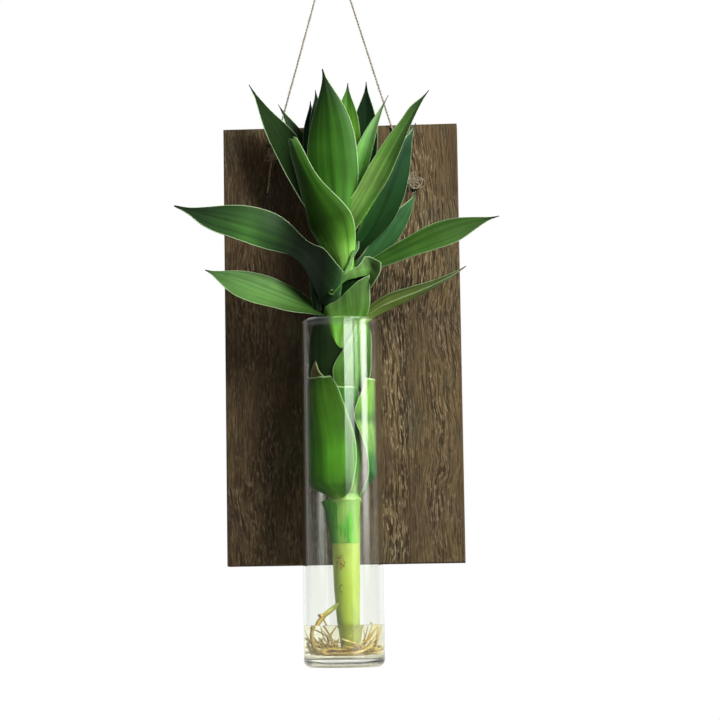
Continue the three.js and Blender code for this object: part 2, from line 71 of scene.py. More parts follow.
# Shares of the twine's radius
PLY_OFFSET, PLY_RADIUS = 0.42, 0.58
FUZZ_POINTS = 5
FUZZ_START = 0.0004
FUZZ_THICK, FUZZ_THIN = 0.00005, 0.00002
FUZZ_CLEAR = 0.0001
KNOT_STEP = 0.0003
KNOT_TURNS = 2.4
KNOT_RADIUS_MM = 1.15
KNOT_OUT_MM = 0.25
KNOT_FIBRES = 46
KNOT_FIBRE_RADIUS = 0.00007
KNOT_CURL_RADIUS = 0.00015
HOLE_X = 0.047
HOLE_Z = 0.0975
HOLE_INSIDE_Y = -0.0125
PEG_TILT = math.radians(15)

# The camera that was fitted to the board's corners and the tube's edges: yaw, pitch and roll in degrees
CAMERA_TURN = (3.49, 6.11, -0.88)
CAMERA_PLACE = (0.103, -1.526, -0.1729)
CAMERA_LENS = 120
CAMERA_SENSOR = 36


def rim(x, y, z):
    """A place given in millimetres from the centre of the glass's rim."""
    return Vector((x * MM, VASE_AXIS_Y + y * MM, VASE_RIM_Z + z * MM))


def srgb(red, green, blue):
    """A colour as seen on a screen, from 0 to 255, as the linear colour that shaders take."""
    shares = [value / 255 for value in (red, green, blue)]
    return tuple(s / 12.92 if s <= 0.04045 else ((s + 0.055) / 1.055) ** 2.4 for s in shares)


def shades(stops):
    """Places from 0 to 1 with screen colours, as places with linear colours."""
    return [(place, srgb(*tone)) for place, *tone in stops]


# Camera


def make_camera():
    yaw, pitch, roll = (math.radians(angle) for angle in CAMERA_TURN)
    right = Vector((math.cos(yaw), math.sin(yaw), 0))
    ahead = Vector((-math.sin(yaw) * math.cos(pitch), math.cos(yaw) * math.cos(pitch), math.sin(pitch)))
    above = right.cross(ahead)
    across = right * math.cos(roll) + above * math.sin(roll)
    over = above * math.cos(roll) - right * math.sin(roll)
    data = bpy.data.cameras.new("camera")
    data.lens = CAMERA_LENS
    data.sensor_width = CAMERA_SENSOR
    camera = bpy.data.objects.new("camera", data)
    scene.collection.objects.link(camera)
    turn = Matrix((across, over, -ahead)).transposed().to_4x4()
    camera.matrix_world = Matrix.Translation(CAMERA_PLACE) @ turn
    scene.camera = camera


# Shaders


class Nodes:
    """The nodes of a material, a lamp or the world, and short ways to add to them."""

    def __init__(self, owner):
        owner.use_nodes = True
        self.tree = owner.node_tree
        self.tree.nodes.clear()

    def link(self, source, socket):
        self.tree.links.new(source, socket)

    def fill(self, socket, value):
        if isinstance(value, bpy.types.NodeSocket):
            self.link(value, socket)
        elif isinstance(value, tuple) and len(value) == 3 and socket.type == "RGBA":
            socket.default_value = (*value, 1)
        else:
            socket.default_value = value

    def node(self, kind, out=0, inputs=(), **settings):
        """One output of a new node, or all of them where out is None."""
        made = self.tree.nodes.new("ShaderNode" + kind)
        for name, value in settings.items():
            setattr(made, name, value)
        for key, value in dict(inputs).items():
            self.fill(made.inputs[key], value)
        return made.outputs if out is None else made.outputs[out]

    def math(self, operation, first, second):
        return self.node("Math", inputs={0: first, 1: second}, operation=operation)

    def times(self, product, *factors):
        for factor in factors:
            product = self.math("MULTIPLY", product, factor)
        return product

    def most(self, value, *others):
        for other in others:
            value = self.math("MAXIMUM", value, other)
        return value

    def split(self, vector):
        return self.node("SeparateXYZ", None, {0: vector})

    def seen_in_gloss(self, paths):
        """One for rays that glass or gloss sends on and that met nothing matt before."""
        sent = self.most(paths["Is Transmission Ray"], paths["Is Glossy Ray"])
        return self.times(sent, self.math("LESS_THAN", paths["Diffuse Depth"], 0.5))

    def end(self, kind, source):
        self.link(source, self.tree.nodes.new("ShaderNodeOutput" + kind).inputs[0])


class Shader(Nodes):
    """A material with one principled surface."""

    def __init__(self, name):
        self.material = bpy.data.materials.new(name)
        super().__init__(self.material)
        self.output = self.tree.nodes.new("ShaderNodeOutputMaterial")
        self.surface = self.tree.nodes.new("ShaderNodeBsdfPrincipled")
        self.link(self.surface.outputs[0], self.output.inputs["Surface"])

    def set(self, **values):
        for name, value in values.items():
            self.fill(self.surface.inputs[name.replace("_", " ")], value)

    def join(self, x, y, z):
        return self.node("CombineXYZ", inputs={0: x, 1: y, 2: z})

    def noise(self, vector, scale, detail, rough=0.5):
        """Noise with a scale of its own in each direction."""
        stretched = self.node("VectorMath", inputs={0: vector, 1: scale}, operation="MULTIPLY")
        inputs = {"Vector": stretched, "Scale": 1.0, "Detail": detail, "Roughness": rough}
        return self.node("TexNoise", inputs=inputs)

    def span(self, value, low, high, to_low=0.0, to_high=1.0):
        """The value moved from one range to another, eased and kept inside it."""
        inputs = {0: value, 1: low, 2: high, 3: to_low, 4: to_high}
        return self.node("MapRange", inputs=inputs, interpolation_type="SMOOTHSTEP")

    def ramp(self, value, stops):
        made = self.tree.nodes.new("ShaderNodeValToRGB")
        band = made.color_ramp
        while len(band.elements) < len(stops):
            band.elements.new(0.5)
        for element, (place, colour) in zip(band.elements, stops):
            element.position = place
            element.color = (*colour, 1)
        self.link(value, made.inputs[0])
        return made.outputs[0]

    def mix(self, share, first, second, blend="MIX"):
        inputs = {0: share, 6: first, 7: second}
        return self.node("Mix", 2, inputs, data_type="RGBA", blend_type=blend)

    def layers(self, colour, *coats):
        """A colour with screen colours laid over it in turn, each by its share."""
        for share, tone in coats:
            colour = self.mix(share, colour, srgb(*tone))
        return colour

    def gray(self, value):
        return self.node("CombineColor", inputs={0: value, 1: value, 2: value})

    def bump(self, height, strength, distance):
        inputs = {"Height": height, "Strength": strength, "Distance": distance}
        self.set(Normal=self.node("Bump", inputs=inputs))

    def place(self):
        return self.node("TexCoord", "Object")

    def tint(self):
        """The colour that a mesh carries, and its share."""
        return [self.node("Attribute", out, attribute_name="tint") for out in ("Color", "Alpha")]

    def blend(self, share, other):
        """Another surface takes the place of the principled one by a share."""
        inputs = {0: share, 1: self.surface.outputs[0], 2: other}
        self.link(self.node("MixShader", inputs=inputs), self.output.inputs["Surface"])

    def let_lamps_through(self, colour):
        """Shadow rays pass, so that lamps light what stands behind a clear surface."""
        clear = self.node("BsdfTransparent", inputs={0: colour})
        self.blend(self.node("LightPath", "Is Shadow Ray"), clear)


def wood_material():
    wood = Shader("weathered_plank")
    place = wood.place()
    x, y, z = wood.split(place)
    wander = wood.noise(place, (24, 24, 17), 2)
    across = wood.math("ADD", x, wood.times(wood.math("SUBTRACT", wander, 0.5), 0.016))
    grain = wood.join(across, y, z)
    bands = wood.noise(grain, (80, 80, 2.6), 4, 0.6)
    flecks = wood.noise(grain, (680, 680, 80), 2)
    short = wood.noise(grain, (1150, 1150, 200), 2)
    lines = wood.noise(grain, (1300, 1300, 30), 2, 0.6)
    patches = wood.noise(grain, (38, 38, 9), 2)
    blotches = wood.noise(place, (44, 44, 30), 1)

    # The grain shows fewer pale flecks in the left half, which is painted shade where the board lies in shadow, and
    # is calmer at the right edge and towards the top
    straight = wood.span(x, 0.052, 0.068, 0.0, 0.55)
    calm_and_shaded = wood.math("SUBTRACT", wood.span(x, -0.035, 0.01, 0.55, 1.0), straight)
    calm_and_shaded = wood.times(calm_and_shaded, wood.span(z, 0.0, 0.1, 1.1, 0.75))
    lively = wood.times(wood.span(patches, 0.4, 0.58, 0.2, 1.0), calm_and_shaded)
    light = wood.times(wood.span(flecks, 0.5, 0.61), lively)
    glint = wood.times(wood.span(short, 0.55, 0.65), lively)
    dark = wood.times(wood.span(flecks, 0.48, 0.37), wood.span(lively, 0.0, 1.0, 0.35, 1.0))
    pores = wood.span(lines, 0.36, 0.54, 1.0, 0.0)

    # A painted shadow: a dark streak left of the middle, where the tube and the plant cast their shadow on the board,
    # which fades at both ends
    painted_shadow = wood.times(
        wood.span(across, -0.064, -0.046),
        wood.span(across, -0.006, -0.02),
        wood.span(z, -0.12, -0.07, 0.1, 0.55),
        wood.span(z, 0.075, 0.02),
    )
    colour = wood.layers(
        wood.ramp(bands, shades([(0.3, 76, 60, 37), (0.5, 96, 78, 50), (0.7, 112, 93, 61)])),
        (wood.span(x, -0.02, -0.06, 0.0, 0.35), (92, 68, 48)),
        (painted_shadow, (44, 34, 18)),
        (wood.span(blotches, 0.55, 0.7, 0.0, 0.6), (90, 72, 54)),
        (wood.span(blotches, 0.45, 0.3, 0.0, 0.6), (84, 80, 58)),
        (wood.times(pores, 0.4), (58, 42, 24)),
        (wood.times(dark, 0.85), (48, 36, 18)),
        (wood.times(light, 0.5), (150, 129, 92)),
        (wood.times(glint, 0.6), (188, 167, 128)),
    )
    raised = wood.math("ADD", light, glint)
    sunk = wood.math("ADD", dark, wood.times(pores, 0.6))
    wood.set(Base_Color=colour, Roughness=wood.span(lines, 0.3, 0.7, 0.64, 0.86), Specular_IOR_Level=0.22)
    wood.bump(wood.math("SUBTRACT", raised, sunk), 0.6, 0.0006)
    return wood.material


def steel_material():
    steel = Shader("drawn_steel")
    marks = steel.noise(steel.place(), (2600, 260, 2600), 3)
    steel.set(
        Base_Color=steel.ramp(marks, shades([(0.3, 150, 152, 154), (0.7, 196, 197, 198)])),
        Metallic=1.0,
        Roughness=steel.span(marks, 0.3, 0.7, 0.26, 0.42),
    )
    steel.bump(marks, 0.15, 0.0001)
    return steel.material


def jute_material(name, dark, middle, light):
    """Fibre with painted light: paler where the twine leaves the left hole, which lies in shade."""
    jute = Shader(name)
    place = jute.place()
    coarse = jute.noise(place, (420, 420, 420), 3, 0.6)
    fine = jute.noise(place, (3800, 3800, 2400), 2)
    tones = [(0.28, dark), (0.5, middle), (0.74, light)]
    strands = jute.mix(0.5, jute.ramp(coarse, tones), jute.ramp(fine, tones))
    x, _, z = jute.split(place)
    # Painted light on the twine and knot by the left hole, which lie in shade
    painted_light = jute.times(jute.span(x, -0.032, -0.036), jute.span(z, 0.132, 0.124, 0.0, 0.85))
    strands = jute.mix(painted_light, strands, srgb(255, 226, 184))
    jute.set(Base_Color=strands, Roughness=0.92, Specular_IOR_Level=0.15, Sheen_Weight=0.25)
    jute.bump(fine, 0.6, 0.0002)
    return jute.material


def glass_material():
    """Clear glass whose base is lightly ground."""
    glass = Shader("clear_glass")
    place = glass.place()
    ground = glass.span(glass.split(place)[2], -0.2005, -0.1992, 0.22, 0.0)
    glass.set(Base_Color=srgb(248, 250, 245), Roughness=ground, IOR=1.5, Transmission_Weight=1.0)
    waves = glass.noise(place, (160, 160, 24), 1)
    glass.bump(waves, 0.05, 0.0004)
    glass.let_lamps_through((0.63, 0.66, 0.63))
    return glass.material


def water_material():
    water = Shader("cloudy_water")
    water.set(Base_Color=srgb(252, 249, 230), Roughness=0.0, IOR=1.333, Transmission_Weight=1.0)
    ripple = water.noise(water.place(), (240, 240, 240), 1)
    water.bump(ripple, 0.04, 0.0004)
    water.let_lamps_through((0.97, 0.96, 0.86))
    return water.material


def cane_material():
    cane = Shader("living_cane")
    place = cane.place()
    x, y, z = cane.split(place)
    streaks = cane.noise(place, (520, 520, 26), 3, 0.55)
    blotches = cane.noise(place, (130, 130, 60), 3)
    freckle = cane.noise(place, (900, 900, 520), 2)
    bark = cane.noise(place, (1500, 1500, 900), 2)
    specks = cane.noise(place, (1300, 1300, 900), 1)

    def mark(centre, wide, tall):
        """How far a place on the front is from the middle of a mark, as a share of the mark's size."""
        aside = cane.math("DIVIDE", cane.math("SUBTRACT", x, centre[0]), wide)
        along = cane.math("DIVIDE", cane.math("SUBTRACT", z, centre[1]), tall)
        away = cane.math("ADD", cane.math("POWER", aside, 2.0), cane.math("POWER", along, 2.0))
        return cane.math("ADD", away, cane.span(y, -0.044, -0.042, 0.0, 9.0))

    # The dark band a little below the rim stands for leaf sheaths there and is painted shade
    tones = shades([
        (0.0, 170, 188, 46), (0.06, 168, 190, 46), (0.154, 174, 195, 82), (0.158, 122, 176, 66),
        (0.3, 134, 182, 80), (0.33, 150, 176, 92), (0.37, 94, 140, 54), (0.5, 84, 128, 46),
        (0.55, 34, 58, 18), (0.65, 40, 70, 22), (1.0, 90, 140, 52),
    ])
    colour = cane.layers(
        cane.ramp(cane.span(z, -0.2, 0.09), tones),
        (cane.span(streaks, 0.45, 0.75, 0.0, 0.45), (184, 204, 92)),
        (cane.span(blotches, 0.52, 0.72, 0.0, 0.4), (96, 142, 44)),
        (cane.span(freckle, 0.68, 0.76, 0.0, 0.6), (132, 116, 48)),
    )
    tint, amount = cane.tint()
    scar = mark((-0.0013, -0.1392), 0.0028, 0.005)
    bud = mark((-0.0006, -0.1554), 0.0015, 0.0023)
    ring = cane.times(cane.span(bud, 0.3, 0.6), cane.span(bud, 1.9, 1.5), cane.span(bark, 0.4, 0.52))
    colour = cane.layers(
        cane.mix(amount, colour, tint),
        (cane.times(cane.span(scar, 1.3, 0.4), cane.span(bark, 0.5, 0.56)), (176, 116, 30)),
        (cane.times(cane.span(scar, 1.6, 0.9), cane.span(specks, 0.58, 0.62)), (50, 44, 24)),
        (cane.times(ring, cane.span(x, 0.0004, -0.0006, 0.15, 0.8)), (72, 100, 28)),
    )
    cane.set(
        Base_Color=colour,
        Roughness=cane.span(blotches, 0.3, 0.7, 0.34, 0.5),
        Subsurface_Weight=0.12,
        Subsurface_Radius=(0.0025, 0.003, 0.001),
        Subsurface_Scale=1.0,
    )
    cane.bump(streaks, 0.25, 0.0003)
    return cane.material


def root_material():
    root = Shader("wet_root")
    place = root.place()
    wear = root.noise(place, (300, 300, 300), 4, 0.6)
    tones = shades([(0.3, 122, 88, 30), (0.5, 180, 146, 62), (0.7, 214, 194, 118)])
    colour = root.mix(0.65, root.ramp(wear, tones), root.tint()[0])
    root.set(Base_Color=colour, Roughness=root.span(wear, 0.3, 0.7, 0.3, 0.55))
    root.bump(wear, 0.4, 0.0003)
    return root.material


def leaf_material(name, glow, gloss, shine):
    leaf = Shader(name)
    across, along, _ = leaf.split(leaf.node("UVMap", uv_map="blade"))
    tint, glint_margin_share = leaf.tint()
    veins = leaf.noise(leaf.join(across, along, 0.0), (8, 0.8, 1), 4)
    fine = leaf.noise(leaf.join(across, along, 3.0), (85, 2.5, 1), 2)
    clouds = leaf.noise(leaf.place(), (48, 48, 48), 3)
    shade = leaf.math("ADD", leaf.span(veins, 0.28, 0.72, 0.68, 1.34), leaf.span(fine, 0.3, 0.7, -0.07, 0.07))
    shade = leaf.times(shade, leaf.span(clouds, 0.3, 0.7, 0.84, 1.16))
    blade = leaf.mix(1.0, tint, leaf.gray(shade), "MULTIPLY")
    # The pale margin, which is partly a painted highlight along the leaf's edge
    colour = leaf.mix(glint_margin_share, blade, srgb(194, 224, 168))
    rough = leaf.math("ADD", leaf.span(fine, 0.3, 0.7, 0.05, -0.05), gloss)
    matt = leaf.span(leaf.node("RGBToBW", inputs={0: tint}), 0.05, 0.008, 0.0, 0.4)
    leaf.set(Base_Color=colour, Roughness=leaf.math("ADD", rough, matt), Specular_IOR_Level=shine)
    leaf.bump(leaf.math("ADD", veins, leaf.times(fine, 0.35)), 0.25, 0.0003)
    through = leaf.mix(1.0, colour, (1.5, 1.6, 0.6), "MULTIPLY")
    leaf.blend(glow, leaf.node("BsdfTranslucent", inputs={0: through}))
    return leaf.material


# Meshes

LINE_PARTS = 24


def build(name, points, faces, material, body, slot, node=None, uv=None, tint=None):
    """A piece from points and faces, turned outwards, that rides on a body."""
    mesh = bpy.data.meshes.new(name)
    mesh.from_pydata([tuple(p) for p in points], [], faces)
    work = bmesh.new()
    work.from_mesh(mesh)
    bmesh.ops.recalc_face_normals(work, faces=work.faces)
    work.to_mesh(mesh)
    work.free()
    mesh.polygons.foreach_set("use_smooth", [True] * len(mesh.polygons))
    if uv is not None:
        corners = np.zeros(len(mesh.loops), dtype=np.int32)
        mesh.loops.foreach_get("vertex_index", corners)
        layer = mesh.uv_layers.new(name="blade")
        layer.data.foreach_set("uv", np.asarray(uv, dtype=np.float32)[corners].ravel())
    if tint is not None:
        colours = mesh.color_attributes.new("tint", "FLOAT_COLOR", "POINT")
        colours.data.foreach_set("color", np.asarray(tint, dtype=np.float32).ravel())
    mesh.materials.append(material)
    mesh.update()
    piece = bpy.data.objects.new(name, mesh)
    scene.collection.objects.link(piece)
    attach(piece, body)
    if node is not None:
        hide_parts(node)
    return piece


def ring_faces(rings, count):
    """Quads between closed rings of equally many points."""
    faces = []
    for first in range(0, (rings - 1) * count, count):
        for i in range(count):
            a, b = first + i, first + (i + 1) % count
            faces.append((a, b, b + count, a + count))
    return faces


def tube_faces(rings, count):
    """The same with a face over each end."""
    last = (rings - 1) * count
    return [*ring_faces(rings, count), tuple(range(count)), tuple(range(last, last + count))]


def with_ends(points):
    """The points with one more past each end, for a curve through all of them."""
    given = [np.array(p, dtype=float) for p in points]
    return [2 * given[0] - given[1], *given, 2 * given[-1] - given[-2]]


def run_of(line):
    """How far along a line each of its points is."""
    return np.concatenate([[0], np.cumsum(np.linalg.norm(np.diff(line, axis=0), axis=1))])


def between(t, first, second, a, b):
    """The place at t on the straight way from a, at first, to b, at second."""
    return (second - t) / (second - first) * a + (t - first) / (second - first) * b


def smooth_line(points, step):
    """Points a step apart along the smooth curve through the given ones."""
    given = with_ends(points)
    line = []
    for p0, p1, p2, p3 in zip(given, given[1:], given[2:], given[3:]):
        t0, t1 = 0.0, np.linalg.norm(p1 - p0) ** 0.5
        t2 = t1 + np.linalg.norm(p2 - p1) ** 0.5
        t3 = t2 + np.linalg.norm(p3 - p2) ** 0.5
        for t in np.linspace(t1, t2, LINE_PARTS, endpoint=False):
            a1 = between(t, t0, t1, p0, p1)
            a2 = between(t, t1, t2, p1, p2)
            a3 = between(t, t2, t3, p2, p3)
            b1 = between(t, t0, t2, a1, a2)
            b2 = between(t, t1, t3, a2, a3)
            line.append(between(t, t1, t2, b1, b2))
    line = np.array([*line, given[-2]])
    run = run_of(line)
    marks = np.linspace(0, run[-1], max(3, round(run[-1] / step) + 1))
    return np.stack([np.interp(marks, run, line[:, k]) for k in range(3)], axis=1)


def line_frames(line):
    """Two directions across a line at each of its points, carried along it without twist."""
    tangents = np.gradient(line, axis=0)
    tangents /= np.linalg.norm(tangents, axis=1, keepdims=True)
    side = np.cross(tangents[0], (0.3, 0.9, 0.2))
    sides = []
    for tangent in tangents:
        side = side - tangent * np.dot(side, tangent)
        side = side / np.linalg.norm(side)
        sides.append(side)
    sides = np.array(sides)
    return sides, np.cross(tangents, sides)


class Bundle:
    """Round strands that together make one mesh."""

    def __init__(self):
        self.points, self.faces, self.tints = [], [], []

    def add(self, line, radii, sides, tint=(1, 1, 1)):
        line = np.asarray(line, dtype=float)
        radii = np.broadcast_to(np.asarray(radii, dtype=float), (len(line),))
        first, across = len(self.points), line_frames(line)
        angles = np.linspace(0, 2 * math.pi, sides, endpoint=False)
        for i, centre in enumerate(line):
            for angle in angles:
                out = across[0][i] * math.cos(angle) + across[1][i] * math.sin(angle)
                self.points.append(centre + out * radii[i])
        self.faces += [tuple(first + i for i in face) for face in tube_faces(len(line), sides)]
        tints = np.broadcast_to(np.asarray(tint, dtype=float), (len(line), 3))
        self.tints += [(*colour, 1) for colour in tints for _ in range(sides)]

    def make(self, name, material, body, slot, node=None):
        return build(name, self.points, self.faces, material, body, slot, node, tint=self.tints)


# Twine


def add_twine(bundle, line, turn=0.0):
    """Two plies twisted round a line."""
    radius = TWINE_DIAMETER / 2
    run = run_of(line)
    sides, across = line_frames(line)
    for ply in range(2):
        angle = (turn + 2 * math.pi * run / TWINE_PITCH + ply * math.pi)[:, None]
        out = sides * np.cos(angle) + across * np.sin(angle)
        swell = 1 + 0.12 * np.sin(run * 900 + ply * 2.1) * np.sin(run * 370 + ply)
        bundle.add(line + out * radius * PLY_OFFSET, radius * PLY_RADIUS * swell, 8)


def add_fuzz(bundle, line, count, reach, seed):
    """Loose fibres that stand out from a line."""
    chance = np.random.default_rng(seed)
    sides, across = line_frames(line)
    tangents = np.cross(sides, across)
    for _ in range(count):
        i = chance.integers(1, len(line) - 1)
        angle = chance.uniform(0, 2 * math.pi)
        out = sides[i] * math.cos(angle) + across[i] * math.sin(angle)
        ahead = tangents[i] * chance.choice([-1, 1]) * chance.uniform(0.5, 1.1)
        ahead = ahead + out * chance.uniform(0.2, 0.9)
        curl = np.cross(ahead, out) * chance.uniform(-0.8, 0.8) - out * chance.uniform(0, 0.5)
        length = reach * chance.uniform(0.35, 1)
        shares = np.linspace(0, 1, FUZZ_POINTS)[:, None]
        fibre = line[i] + out * FUZZ_START + ahead * shares * length + curl * shares**2 * length * 0.7
        fibre[:, 1] = np.minimum(fibre[:, 1], BOARD_FRONT - FUZZ_CLEAR)
        bundle.add(fibre, np.linspace(FUZZ_THICK, FUZZ_THIN, FUZZ_POINTS), 3)


def make_twine():
    def on_face(points):
        return [(x * MM, TWINE_FACE, z * MM) for x, z in points]

    def mirrored(points):
        return [(-x, y, z) for x, y, z in reversed(points)]

    jute = jute_material("jute_twine", srgb(112, 102, 86), srgb(164, 154, 134), srgb(208, 200, 180))
    pale = jute_material("jute_fibre", srgb(130, 118, 94), srgb(180, 166, 136), srgb(220, 208, 182))
    left = [(-46.4, 100.5), (-43.3, 121.8), (-37.7, 141.8), (-26, 183), (-14.7, 223), (-8.9, 244)]
    top = [(-7.2, 250.2), (-6.2, 252.4), (-4.6, 253.6), (-2.8, 253.6), (-1.2, 252.5), (-0.1, 250.3)]
    right = [(1.8, 244), (8.7, 221), (21, 180), (33, 140), (40, 116.6), (44.7, 101)]
    mouth = [(-HOLE_X, HOLE_INSIDE_Y, HOLE_Z), (-HOLE_X, -0.0151, 0.0984)]
    route = [*mouth, *on_face([*left, *top, *right]), *mirrored(mouth)]
    line = smooth_line(route, TWINE_STEP)
    cord = Bundle()
    add_twine(cord, line)
    twine = cord.make("hanging_twine_strands", jute, "board", "jute_twine", "hanging_twine")

    fibres = Bundle()
    add_fuzz(fibres, line, count=520, reach=0.0032, seed=3)
    fuzz = fibres.make("twine_fibres", pale, "board", "jute_twine")

    knots = []
    join = np.array(on_face(left[1:3]))
    stop = np.array(on_face(right[-2:]))
    stop_centre = stop[0] * 0.18 + stop[1] * 0.82
    places = [
        ("twine_join_knot", join[0], join[1] - join[0], (-0.5, 0.5), 8, 11),
        ("twine_stop_knot", stop_centre, stop[0] - stop[1], (4.6, -4.4), 4, 12),
    ]
    for name, centre, up, lean, curls, seed in places:
        knots += make_knot(name, centre, up / np.linalg.norm(up), lean, curls, seed, jute, pale)

    # The run behind the board, round a bend at each hole and along the groove
    bend = 0.0024
    back_y = -0.0011
    half = [(HOLE_X, y, HOLE_Z) for y in (HOLE_INSIDE_Y, -0.0085)]
    for turn in (0, 30, 60, 90):
        inwards, backwards = 1 - math.cos(math.radians(turn)), 1 - math.sin(math.radians(turn))
        half.append((HOLE_X - bend * inwards, back_y - bend * backwards, HOLE_Z))
    half.append((HOLE_X / 2, back_y, HOLE_Z))
    behind = Bundle()
    add_twine(behind, smooth_line([*half, (0, back_y, HOLE_Z), *mirrored(half)], TWINE_STEP))
    behind.make("twine_back_strands", jute, "board", "jute_twine", "twine_back_run")


def make_knot(name, centre, up, lean, curls, seed, jute, pale):
    """A tight overhand knot with frayed ends, whose loose curls lean to one side; in millimetres."""
    out = np.array((0.0, -1.0, 0.0))
    side = np.cross(up, out)

    def at(a, b, c):
        return centre + side * a * MM + up * b * MM + out * (c + KNOT_OUT_MM) * MM

    turns = []
    for t in np.linspace(0, KNOT_TURNS, 30):
        angle = 2 * math.pi * t
        radius = KNOT_RADIUS_MM + 0.25 * math.sin(3 * angle)
        depth = max(math.sin(angle) * radius, -0.45)
        turns.append(at(radius * math.cos(angle), -1.6 + 1.35 * t, depth))
    bundle = Bundle()
    add_twine(bundle, smooth_line(turns, KNOT_STEP), turn=0.6)
    over = [at(-1.3, -1.5, 0.6), at(-0.9, -0.6, 1.5), at(0.2, 0.3, 1.75), at(1.1, 1.2, 1.2), at(1.2, 1.9, 0.5)]
    add_twine(bundle, smooth_line(over, KNOT_STEP), turn=2.0)
    knot = bundle.make(name + "_strands", jute, "board", "jute_twine", name)

    chance = np.random.default_rng(seed)
    frayed = Bundle()
    for _ in range(KNOT_FIBRES):
        spread = chance.uniform(-1, 1, 3)
        start = at(spread[0] * 1.3, spread[1] * 1.2, 0.6 + 0.5 * spread[2])
        angle = chance.uniform(0, 2 * math.pi)
        reach = chance.uniform(2.2, 6.5)
        points = []
        for s in np.linspace(0, 1, 7):
            bend = angle + chance.uniform(0.6, 1.4) * (s * 2.2) ** 1.3
            points.append(
                start
                + side * math.cos(bend) * reach * s * MM
                + up * math.sin(bend) * reach * s * MM
                + out * (0.9 * math.sin(s * 3) + 0.1) * MM
            )
        frayed.add(smooth_line(points, 0.0005), KNOT_FIBRE_RADIUS, 3)
    for _ in range(curls):
        away = lean + chance.uniform(-1, 1, 2) * (1.8, 2.6)
        size = chance.uniform(1.2, 2.9)
        first = chance.uniform(0, 2 * math.pi)
        points = []
        for s in np.linspace(0, 1, 12):
            angle = first + s * 2 * math.pi * 1.25
            wide = size * (1 + 0.35 * s)
            aside, along = away[0] + wide * math.cos(angle), away[1] + wide * math.sin(angle)
            points.append(at(aside, along, 0.6 + 1.2 * math.sin(3 * s)))
        frayed.add(smooth_line(points, TWINE_STEP), KNOT_CURL_RADIUS, 5)
    return [knot, frayed.make(name + "_fibres", pale, "board", "jute_twine")]


# Glass and water


def arc(centre, radius, start, end, count):
    """Points on a round corner of a profile, between two angles in degrees."""
    angles = np.radians(np.linspace(start, end, count + 1))
    return [(centre[0] + radius * math.cos(a), centre[1] + radius * math.sin(a)) for a in angles]


def lathe(profile):
    """Points and faces of a profile turned round the glass's axis; its ends lie on that axis."""
    sides = GLASS_SIDES
    points = []
    for radius, height in profile[1:-1]:
        for angle in np.linspace(0, 2 * math.pi, sides, endpoint=False):
            x, y = radius * math.cos(angle), radius * math.sin(angle)
            points.append((x, VASE_AXIS_Y + y, VASE_RIM_Z + height))
    faces = ring_faces(len(profile) - 2, sides)
    low, high = len(points), len(points) + 1
    points += [(0, VASE_AXIS_Y, VASE_RIM_Z + profile[end][1]) for end in (0, -1)]
    top = (len(profile) - 3) * sides
    for i in range(sides):
        j = (i + 1) % sides
        faces.append((low, i, j))
        faces.append((high, top + j, top + i))
    return points, faces


def make_vase():
    bottom, floor = -VASE_HEIGHT, VASE_BASE - VASE_HEIGHT
    profile = [
        (0, bottom + VASE_HOLLOW),
        (VASE_FLAT, bottom + 0.0004),
        *arc((VASE_RADIUS - VASE_FOOT, bottom + VASE_FOOT), VASE_FOOT, -90, 0, 12),
        *[(VASE_RADIUS, height) for height in np.linspace(bottom + 0.012, VASE_WALL_TOP, 12)],
        (VASE_RADIUS + 0.00012, -0.0036),
        *arc((VASE_BORE + VASE_LIP, -VASE_LIP), VASE_LIP, 0, 180, 14),
        *[(VASE_BORE, height) for height in np.linspace(VASE_WALL_TOP, floor + 0.008, 12)],
        *arc((VASE_BORE - VASE_CORNER, floor + VASE_CORNER), VASE_CORNER, 0, -90, 8),
        (VASE_FLAT, floor),
        (0, floor),
    ]
    vase = build("glass_tube", *lathe(profile), glass_material(), "vase", "clear_glass", "glass_vase")

    # The peg's hole through the back wall
    direction = Vector((0, -math.cos(PEG_TILT), math.sin(PEG_TILT)))
    turn = direction.to_track_quat("Z", "Y").to_matrix().to_4x4()
    cutter = bpy.data.meshes.new("hole")
    work = bmesh.new()
    bmesh.ops.create_cone(
        work, cap_ends=True, segments=40, radius1=VASE_HOLE, radius2=VASE_HOLE, depth=VASE_HOLE_LENGTH,
        matrix=Matrix.Translation(rim(*VASE_HOLE_MM)) @ turn,
    )
    work.to_mesh(cutter)
    work.free()
    drill = bpy.data.objects.new("hole", cutter)
    scene.collection.objects.link(drill)
    cut = vase.modifiers.new("hole", "BOOLEAN")
    cut.operation = "DIFFERENCE"
    cut.object = drill
    cut.solver = "EXACT"
    bpy.context.view_layer.update()
    made = bpy.data.meshes.new_from_object(vase.evaluated_get(bpy.context.evaluated_depsgraph_get()))
    vase.modifiers.clear()
    vase.data = made
    bpy.data.objects.remove(drill)

    surface = floor + WATER_DEPTH
    wall = VASE_BORE + WATER_OVERLAP
    water = [
        (0, floor - WATER_OVERLAP),
        (VASE_FLAT, floor - WATER_OVERLAP),
        *arc((VASE_BORE - VASE_CORNER, floor + VASE_CORNER), VASE_CORNER + WATER_OVERLAP, -90, 0, 8),
        *[(wall, height) for height in np.linspace(floor + 0.006, surface - WATER_RISE, 5)],
        (wall, surface),
        (wall, surface + WATER_RISE),
        *[(VASE_BORE - s * 0.004, surface + WATER_RISE * (1 - s) ** 3) for s in np.linspace(0.05, 1, 8)],
        (0.009, surface),
        (0, surface),
    ]
    build("vase_water", *lathe(water), water_material(), "vase", "clear_glass")


# Cane and roots, in millimetres from the rim's centre

CANE_FOOT = -203.4
CANE_TOP = 66
CANE_SIDES = 72
CANE_SHEATH = -139
CANE_COLLAR = -112.5
COLLAR_TONE = srgb(170, 186, 110)
THIN_ROOTS = 100
CROWN_ROOTS = 13
ROOT_X = 3
ROOT_LIMIT = 20.4
